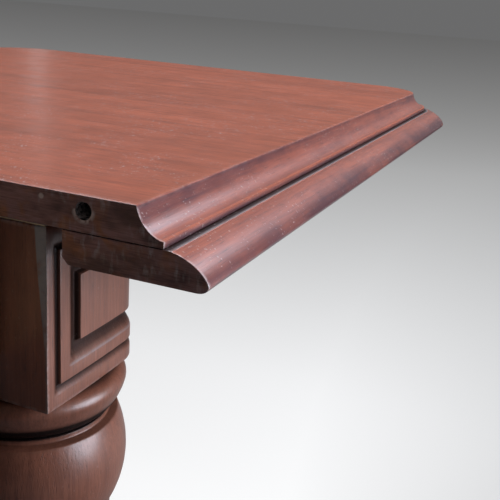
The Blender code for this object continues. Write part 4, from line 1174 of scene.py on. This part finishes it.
class TABLE_OT_runners(bpy.types.Operator):
    """Adds the bearers under each half, with their stops and cross batten"""

    bl_idname = "table.runners"
    bl_label = "Runners"

    def execute(self, context):
        ease = context.scene.table_fittings.wood_ease
        for half, _ in half_turns:
            sides = [half + part + hand for part in ("_bearer", "_stop") for hand in ("_right", "_left")]
            add_eased(sides, half, "beech_frame_X", ease)
            add_eased((half + "_cross_batten",), half, "beech_frame_Y", ease)
        return {"FINISHED"}


def screw_head(fittings):
    """A countersunk head with its face down, its slot across it."""
    radius, proud = fittings.screw_radius, fittings.screw_proud
    head = lathe([(0, radius), (radius / 2, radius), (radius, 0), (radius * 0.8, -proud), (0, -proud)],
                 "steel")
    return slotted(head, radius, -proud, fittings)


def slotted(head, radius, face, fittings):
    """The head with a screwdriver's slot cut up into its lower face."""
    bar = bmesh.new()
    bmesh.ops.create_cube(bar, size=1)
    size = Matrix.Diagonal((4 * radius, fittings.slot_width, 2 * fittings.slot_depth, 1))
    bmesh.ops.transform(bar, matrix=Matrix.Translation((0, 0, face)) @ size, verts=bar.verts)
    tool = bpy.data.meshes.new("slot")
    bar.to_mesh(tool)
    bar.free()
    tool.materials.append(material("steel"))
    return cut(head, ("DIFFERENCE", tool))


class TABLE_OT_screws(bpy.types.Operator):
    """Adds the rows of screws under the bearers, the cross battens and the centre rail"""

    bl_idname = "table.screws"
    bl_label = "Screws"

    def execute(self, context):
        fittings = context.scene.table_fittings
        head = bpy.data.objects.new("head", screw_head(fittings))
        context.collection.objects.link(head)
        hands = ("_bearer_right", "_bearer_left")
        rows = [(half + hand, half, 0) for half, _ in half_turns for hand in hands]
        rows += [(half + "_cross_batten", half, 1) for half, _ in half_turns]
        rows += [("centre_rail", "base", 1)]
        for node, body, axis in rows:
            low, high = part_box(node)
            middle = (low + high) / 2
            ends = []
            for edge, inward in ((low[axis], 1), (high[axis], -1)):
                end = Vector((middle.x, middle.y, low.z))
                end[axis] = edge + inward * fittings.screw_spacing / 4
                ends.append(end)
            seed = strand("row", ends)
            mesh = grown(seed, "row", piece=head, spacing=fittings.screw_spacing, material=material("steel"))
            add_piece(node + "_screws", mesh, body)
        discard(head)
        return {"FINISHED"}


class TABLE_OT_dowels(bpy.types.Operator):
    """Adds the three dowels in the mating face of the second half"""

    bl_idname = "table.dowels"
    bl_label = "Dowels"

    def execute(self, context):
        end = context.scene.table_fittings.dowel_round
        for hand in ("right", "middle", "left"):
            low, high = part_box("dowel_" + hand)
            centre, radius, half = (low + high) / 2, (high.z - low.z) / 2, (high.x - low.x) / 2
            mesh = lathe([(0, half), (radius, half), (radius, -half), (0, -half)], "pale_wood", soften=end)
            mesh.transform(Matrix.Translation(centre) @ Matrix.Rotation(pi / 2, 4, "Y"))
            add_piece("loose_leaf_dowel_" + hand, mesh, "dowel_half", ("dowel_" + hand,))
        return {"FINISHED"}


class TABLE_OT_catches(bpy.types.Operator):
    """Adds the two turn hooks with their pivot screws, and the keeper screws"""

    bl_idname = "table.catches"
    bl_label = "Catches"

    def execute(self, context):
        fittings = context.scene.table_fittings
        for hand in ("right", "left"):
            node = "catch_" + hand
            mesh = eased_copy(node, "brass", fittings.metal_ease)
            add_piece("brass_hook_" + hand, mesh, "hook_" + hand, (node,))
            for role, body in (("catch_screw_", "socket_half"), ("keeper_screw_", "dowel_half")):
                low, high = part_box(role + hand)
                centre, radius = (low + high) / 2, (high.x - low.x) / 2
                mesh = eased_copy(role + hand, "steel", fittings.metal_ease / 2)
                mesh.transform(Matrix.Translation((-centre.x, -centre.y, 0)))
                mesh = slotted(mesh, radius, low.z, fittings)
                mesh.transform(Matrix.Translation((centre.x, centre.y, 0)))
                add_piece("slotted_" + role + hand, mesh, body, (role + hand,))
        return {"FINISHED"}


def cup_mesh(fittings, leg):
    """Brass cup round the leg's foot, with a lip and a hole for the fork's stem."""
    top, foot, lip, wall = cup_high.z, cup_low.z, (cup_high.x - cup_low.x) / 2, fittings.cup_wall
    body, hole = lip - fittings.cup_lip, fittings.stem_hole
    under_lip, floor = top - fittings.cup_lip_height, foot + fittings.cup_floor
    mouth = body - wall
    inner = mouth - (leg.foot_radius - leg.toe_radius)
    points = [(mouth, top), (lip, top), (lip, under_lip), (body, under_lip), (inner + wall, foot),
              (hole, foot), (hole, floor), (inner, floor)]
    points = rounded(points, fittings.metal_ease * 2, closed=True)
    seed = strand("cup", [(radius, 0, height) for radius, height in points], closed=True)
    return grown(seed, "turning", sides=fittings.sides, material=material("brass"))


class TABLE_OT_castors(bpy.types.Operator):
    """Adds the castors: brass cups and forks, china wheels and steel axles"""

    bl_idname = "table.castors"
    bl_label = "Castors"

    def execute(self, context):
        fittings, leg = context.scene.table_fittings, context.scene.table_leg
        cup = cup_mesh(fittings, leg)
        radius, half = (wheel_high.z - wheel_low.z) / 2, (wheel_high.y - wheel_low.y) / 2
        bore, pin = fittings.axle_radius, (axle_high.y - axle_low.y) / 2
        eye = bore + fittings.axle_clearance
        head = (axle_high.z - axle_low.z) / 2
        neck = pin - fittings.axle_head
        tread = [(eye, half), (radius, half), (radius, -half), (eye, -half)]
        tread = rounded(tread, fittings.tyre_round, steps=8, closed=True)
        wheel_seed = strand("wheel", [(x, 0, z) for x, z in tread], closed=True)
        wheel = grown(wheel_seed, "turning", sides=2 * fittings.sides, material=material("castor_china"))
        axle = lathe([(0, pin), (head, pin), (head, neck), (bore, neck), (bore, -neck), (head, -neck),
                      (head, -pin), (0, -pin)], "steel", soften=fittings.metal_ease)
        for mesh in (wheel, axle):
            mesh.transform(Matrix.Rotation(-pi / 2, 4, "X"))
        for name, *spot in corners:
            place = leg_place(*spot)
            add_piece("brass_cup_" + name, cup, "base", ("castor_cup_" + name,), place)
            low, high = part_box("castor_wheel_" + name)
            centre = Matrix.Translation((low + high) / 2)
            add_piece("china_wheel_" + name, wheel, "wheel_" + name,
                      ("castor_wheel_" + name,), centre)
            fork = "fork_" + name
            add_piece("steel_axle_" + name, axle, fork, ("castor_axle_" + name,), centre)
            add_eased(("castor_" + fork,), fork, "brass", fittings.metal_ease)
        return {"FINISHED"}


class StageSettings(bpy.types.PropertyGroup):
    camera_before: length("Camera before the edge", 0.4102, "Distance of the camera before the mating face")
    camera_aside: length("Camera aside", 0.2403, "Distance of the camera beside the top's right arris")
    camera_above: length("Camera above", 0.1281, "Height of the camera over the top")
    camera_turn: rotation("Camera turn", (72.023, -3.945, -67.151), "Rotation of the camera")
    lens: number("Lens", 56.06, "Focal length in millimetres")
    sensor: number("Sensor", 36.0, "Width of the camera's sensor in millimetres")
    nearest: length("Nearest", 0.01, "Nearest distance that the camera sees")
    floor_reach: length("Floor reach", 30.0, "Distance from the middle of the floor to its edges")
    sweep_reach: number("Sweep reach", 0.75, "Height over distance of the view where the floor is palest")
    sweep_power: number("Sweep power", 1.5, "How slowly the floor turns grey")
    sweep_glow: number("Sweep glow", 1.09, "Strength of the floor's own light")
    sweep_share: number("Sweep share", 0.8, "Share of the floor's look that is its own light")
    far_reach: number("Far reach", 0.2, "Height over distance of the view below which the floor fades")
    far_shade: number("Far shade", 0.45, "What is left of the floor's paleness at its far end")
    mirror_share: number("Sweep in the polish", 0.25, "How much of the floor's light the polish mirrors")
    mirror_start: length("Mirror start", 0.5, "Distance ahead at which the polish starts to mirror the floor")
    mirror_end: length("Mirror end", 1.5, "Distance ahead from which the polish mirrors the floor in full")
    corner_start: number("Corner start", 0.06, "Where the floor's near right corner starts to darken")
    corner_end: number("Corner end", 0.26, "Where the floor's near right corner is darkest")
    corner_shade: number("Corner shade", 0.27, "How much the floor's near right corner is darkened")
    shade_start: length("Shade start", 0.3, "Distance ahead at which the corner's shade sets in")
    shade_end: length("Shade end", 1.0, "Distance ahead from which the corner's shade is full")
    ambient: number("Ambient light", 0.10, "Strength of the world's even light")
    shine_behind: number("Shine behind", 0.03, "Brightness that polish mirrors from behind the camera")
    shine_ahead: number("Shine ahead", 0.20, "Brightness that polish mirrors from ahead of the camera")
    shine_start: number("Shine start", -0.3, "Part along X from which the mirrored light rises", -1)
    shine_end: number("Shine end", 0.8, "Part along X at which the mirrored light is full", -1)
    key_place: position("Key place", (1.45, -2.6, 1.2), "Place of the large soft lamp over the right side")
    key_size: length("Key size", 1.6, "Diameter of the large soft lamp over the right side")
    key_power: number("Key power", 73.0, "Watts of the soft lamp over the right side, which nothing mirrors")
    glint_place: position("Glint place", (0.66, -0.94, 0.61), "Place of the low lamp for the legs")
    glint_height: length("Glint height", 0.45, "Height on the leg at which the low lamp is aimed")
    glint_size: length("Glint size", 0.45, "Diameter of the low lamp")
    glint_power: number("Glint power", 5.2, "Watts of the low lamp, which is only mirrored")
    sheen_place: position("Sheen place", (3.4, -1.6, 3.3), "Place of the lamp that the mouldings mirror")
    sheen_size: length("Sheen size", 1.7, "Diameter of the lamp that the mouldings mirror")
    sheen_power: number("Sheen power", 50.0, "Watts of the lamp that the mouldings mirror")
    top_place: position("Top light place", (1.3, 0.1, 3.0), "Place of the large soft lamp over the table")
    top_size: length("Top light size", 1.8, "Diameter of the large soft lamp over the table")
    top_power: number("Top light power", 46.0, "Watts of the large soft lamp over the table")
    gleam_place: position("Gleam place", (3.23, 1.765, 1.2), "Place of the narrow lamp that the top mirrors")
    gleam_width: length("Gleam width", 0.07, "Width of the narrow lamp")
    gleam_height: length("Gleam height", 0.45, "Height of the narrow lamp")
    gleam_power: number("Gleam power", 0.15, "Watts of the narrow lamp")


def floor_material():
    """Pale floor that turns grey with its distance from the camera, as a studio sweep does."""
    finish, stage = bpy.context.scene.table_finish, bpy.context.scene.table_stage
    floor = Shader("studio_floor", roughness=0.9, specular_ior_level=0.0)
    forward = camera_turn().to_matrix() @ Vector((0, 0, -1))
    ahead = Vector((forward.x, forward.y, 0)).normalized()
    right = Vector((ahead.y, -ahead.x, 0))
    spot = camera_spot()
    apart = floor.node("VectorMath", ((0, floor.place()), (1, spot)), operation="SUBTRACT").outputs["Vector"]
    away = floor.node("VectorMath", ((0, apart), (1, ahead)), operation="DOT_PRODUCT").outputs["Value"]
    aside = floor.node("VectorMath", ((0, apart), (1, right)), operation="DOT_PRODUCT").outputs["Value"]
    far = floor.maths("MAXIMUM", away, stage.camera_above, clamp=False)
    dip = floor.maths("DIVIDE", spot.z, far, clamp=False)
    corner = floor.times(floor.maths("DIVIDE", aside, far, clamp=False), dip)

    grey = floor.maths("POWER", floor.fade(dip, 0, stage.sweep_reach, 1, 0), stage.sweep_power)
    fading = floor.fade(dip, 0, stage.far_reach, stage.far_shade, 1)
    pale = floor.times(floor.maths("SUBTRACT", 1.0, grey), fading)
    shade = floor.mix(pale, finish.floor_far, finish.floor_near)
    dim = floor.times(floor.fade(away, stage.shade_start, stage.shade_end),
                      floor.fade(corner, stage.corner_start, stage.corner_end, 0, stage.corner_shade))
    shade = floor.mix(dim, shade, (0, 0, 0))

    path = floor.node("LightPath").outputs
    ahead_only = floor.fade(away, stage.mirror_start, stage.mirror_end)
    in_polish = floor.times(floor.times(path["Is Glossy Ray"], ahead_only), stage.mirror_share)
    share = floor.maths("MAXIMUM", path["Is Camera Ray"], in_polish)
    floor.set("Base Color", floor.mix(share, finish.floor_bounce, shade))
    glow = floor.node("Emission", (("Color", shade), ("Strength", stage.sweep_glow))).outputs["Emission"]
    blend = floor.node("MixShader", ((0, floor.times(share, stage.sweep_share)),
                                     (1, floor.surface.outputs["BSDF"]), (2, glow)))
    floor.tree.links.new(blend.outputs["Shader"], floor.tree.nodes["Material Output"].inputs["Surface"])
    return floor.made


def camera_turn():
    return Euler(tuple(bpy.context.scene.table_stage.camera_turn), "XYZ")


def camera_spot():
    stage = bpy.context.scene.table_stage
    arris = board_low.y + bpy.context.scene.table_top.cove_reach
    return Vector((mate_x - stage.camera_before, arris - stage.camera_aside,
                   table_height + stage.camera_above))


def add_lamp(name, target, tint=None, diffuse=True, mirrored=True):
    """A soft lamp, round or a rectangle, that no camera ray sees, with its place and size from the stage."""
    stage = bpy.context.scene.table_stage
    place, width = getattr(stage, name + "_place"), getattr(stage, name + "_width", 0)
    light = bpy.data.lights.new(name, "AREA")
    light.shape = "RECTANGLE" if width else "DISK"
    if width:
        light.size, light.size_y = width, getattr(stage, name + "_height")
    else:
        light.size = getattr(stage, name + "_size")
    light.energy = getattr(stage, name + "_power")
    light.color = tint or bpy.context.scene.table_finish.daylight
    lamp = bpy.data.objects.new(name, light)
    bpy.context.collection.objects.link(lamp)
    lamp.location = place
    lamp.rotation_euler = (Vector(target) - Vector(place)).to_track_quat("-Z", "Y").to_euler()
    lamp.visible_camera = False
    lamp.visible_diffuse, lamp.visible_glossy = diffuse, mirrored


def add_floor(stage):
    """A plain square of floor under the table."""
    reach = stage.floor_reach
    mesh = bpy.data.meshes.new("floor")
    outline = [(-reach, -reach, 0), (reach, -reach, 0), (reach, reach, 0), (-reach, reach, 0)]
    mesh.from_pydata(outline, [], [(0, 1, 2, 3)])
    mesh.materials.append(floor_material())
    floor = bpy.data.objects.new("floor", mesh)
    bpy.context.collection.objects.link(floor)


def add_world(stage):
    """A world that lights evenly, is a grey backdrop to the camera, and is brighter ahead in the polish."""
    world = bpy.data.worlds.new("studio")
    world.use_nodes = True
    bpy.context.scene.world = world
    nodes, links = world.node_tree.nodes, world.node_tree.links
    light, seen = nodes["Background"], nodes.new("ShaderNodeBackground")
    shine = nodes.new("ShaderNodeBackground")
    light.inputs["Color"].default_value = (1, 1, 1, 1)
    light.inputs["Strength"].default_value = stage.ambient
    seen.inputs["Color"].default_value = (*bpy.context.scene.table_finish.backdrop, 1)
    toward, ramp = nodes.new("ShaderNodeSeparateXYZ"), nodes.new("ShaderNodeMapRange")
    links.new(nodes.new("ShaderNodeTexCoord").outputs["Generated"], toward.inputs[0])
    links.new(toward.outputs["X"], ramp.inputs[0])
    span = (stage.shine_start, stage.shine_end, stage.shine_behind, stage.shine_ahead)
    for index, value in enumerate(span, 1):
        ramp.inputs[index].default_value = value
    links.new(ramp.outputs[0], shine.inputs["Strength"])
    glossy, blend = nodes.new("ShaderNodeMixShader"), nodes.new("ShaderNodeMixShader")
    path = nodes.new("ShaderNodeLightPath").outputs
    feeds = ((glossy, path["Is Glossy Ray"], light, shine), (blend, path["Is Camera Ray"], glossy, seen))
    for mixer, share, first, second in feeds:
        for socket, source in zip(mixer.inputs, (share, first.outputs[0], second.outputs[0])):
            links.new(source, socket)
    links.new(blend.outputs[0], nodes["World Output"].inputs["Surface"])


def add_camera(stage):
    """The camera at the photograph's viewpoint."""
    camera = bpy.data.objects.new("camera", bpy.data.cameras.new("camera"))
    bpy.context.collection.objects.link(camera)
    camera.data.lens, camera.data.sensor_width = stage.lens, stage.sensor
    camera.data.clip_start, camera.data.clip_end = stage.nearest, 4 * stage.floor_reach
    camera.location, camera.rotation_euler = camera_spot(), camera_turn()
    bpy.context.scene.camera = camera


class TABLE_OT_stage(bpy.types.Operator):
    """Adds the pale floor, the soft studio light and the camera at the photograph's viewpoint"""

    bl_idname = "table.stage"
    bl_label = "Stage"

    def execute(self, context):
        stage, window = context.scene.table_stage, context.scene.table_finish.window
        add_floor(stage)
        add_world(stage)
        middle, near_edge = (0, 0, table_height), (mate_x, board_low.y, table_height)
        add_lamp("key", middle, mirrored=False)
        add_lamp("glint", (mate_x, board_low.y, stage.glint_height), window, diffuse=False)
        add_lamp("sheen", near_edge, window)
        add_lamp("top", middle)
        add_lamp("gleam", near_edge)
        add_camera(stage)
        context.scene.view_settings.view_transform = "Standard"
        return {"FINISHED"}


settings = {"table_top": TopSettings, "table_leg": LegSettings, "table_fittings": FittingSettings,
            "table_finish": FinishSettings, "table_stage": StageSettings}
operators = (TABLE_OT_boards, TABLE_OT_rims, TABLE_OT_legs, TABLE_OT_base_frame, TABLE_OT_runners,
             TABLE_OT_screws, TABLE_OT_dowels, TABLE_OT_catches, TABLE_OT_castors, TABLE_OT_stage)


class TABLE_PT_pieces(bpy.types.Panel):
    """Lists the sizes, the colours and the pieces of the table"""

    bl_idname = "TABLE_PT_pieces"
    bl_label = "Dining table"
    bl_space_type = "VIEW_3D"
    bl_region_type = "UI"
    bl_category = "Dining table"

    def draw(self, context):
        for operator in operators:
            self.layout.operator(operator.bl_idname)
        for name in settings:
            group = getattr(context.scene, name)
            box = self.layout.box()
            for prop in group.bl_rna.properties:
                if prop.identifier not in ("rna_type", "name"):
                    box.prop(group, prop.identifier)


classes = (*settings.values(), *operators, TABLE_PT_pieces)


def register():
    for made in classes:
        bpy.utils.register_class(made)
    for name, group in settings.items():
        setattr(bpy.types.Scene, name, PointerProperty(type=group))


def unregister():
    for name in settings:
        delattr(bpy.types.Scene, name)
    for made in reversed(classes):
        bpy.utils.unregister_class(made)


def main():
    register()
    for operator in operators:
        area, name = operator.bl_idname.split(".")
        getattr(getattr(bpy.ops, area), name)()


if __name__ == "__main__":
    main()
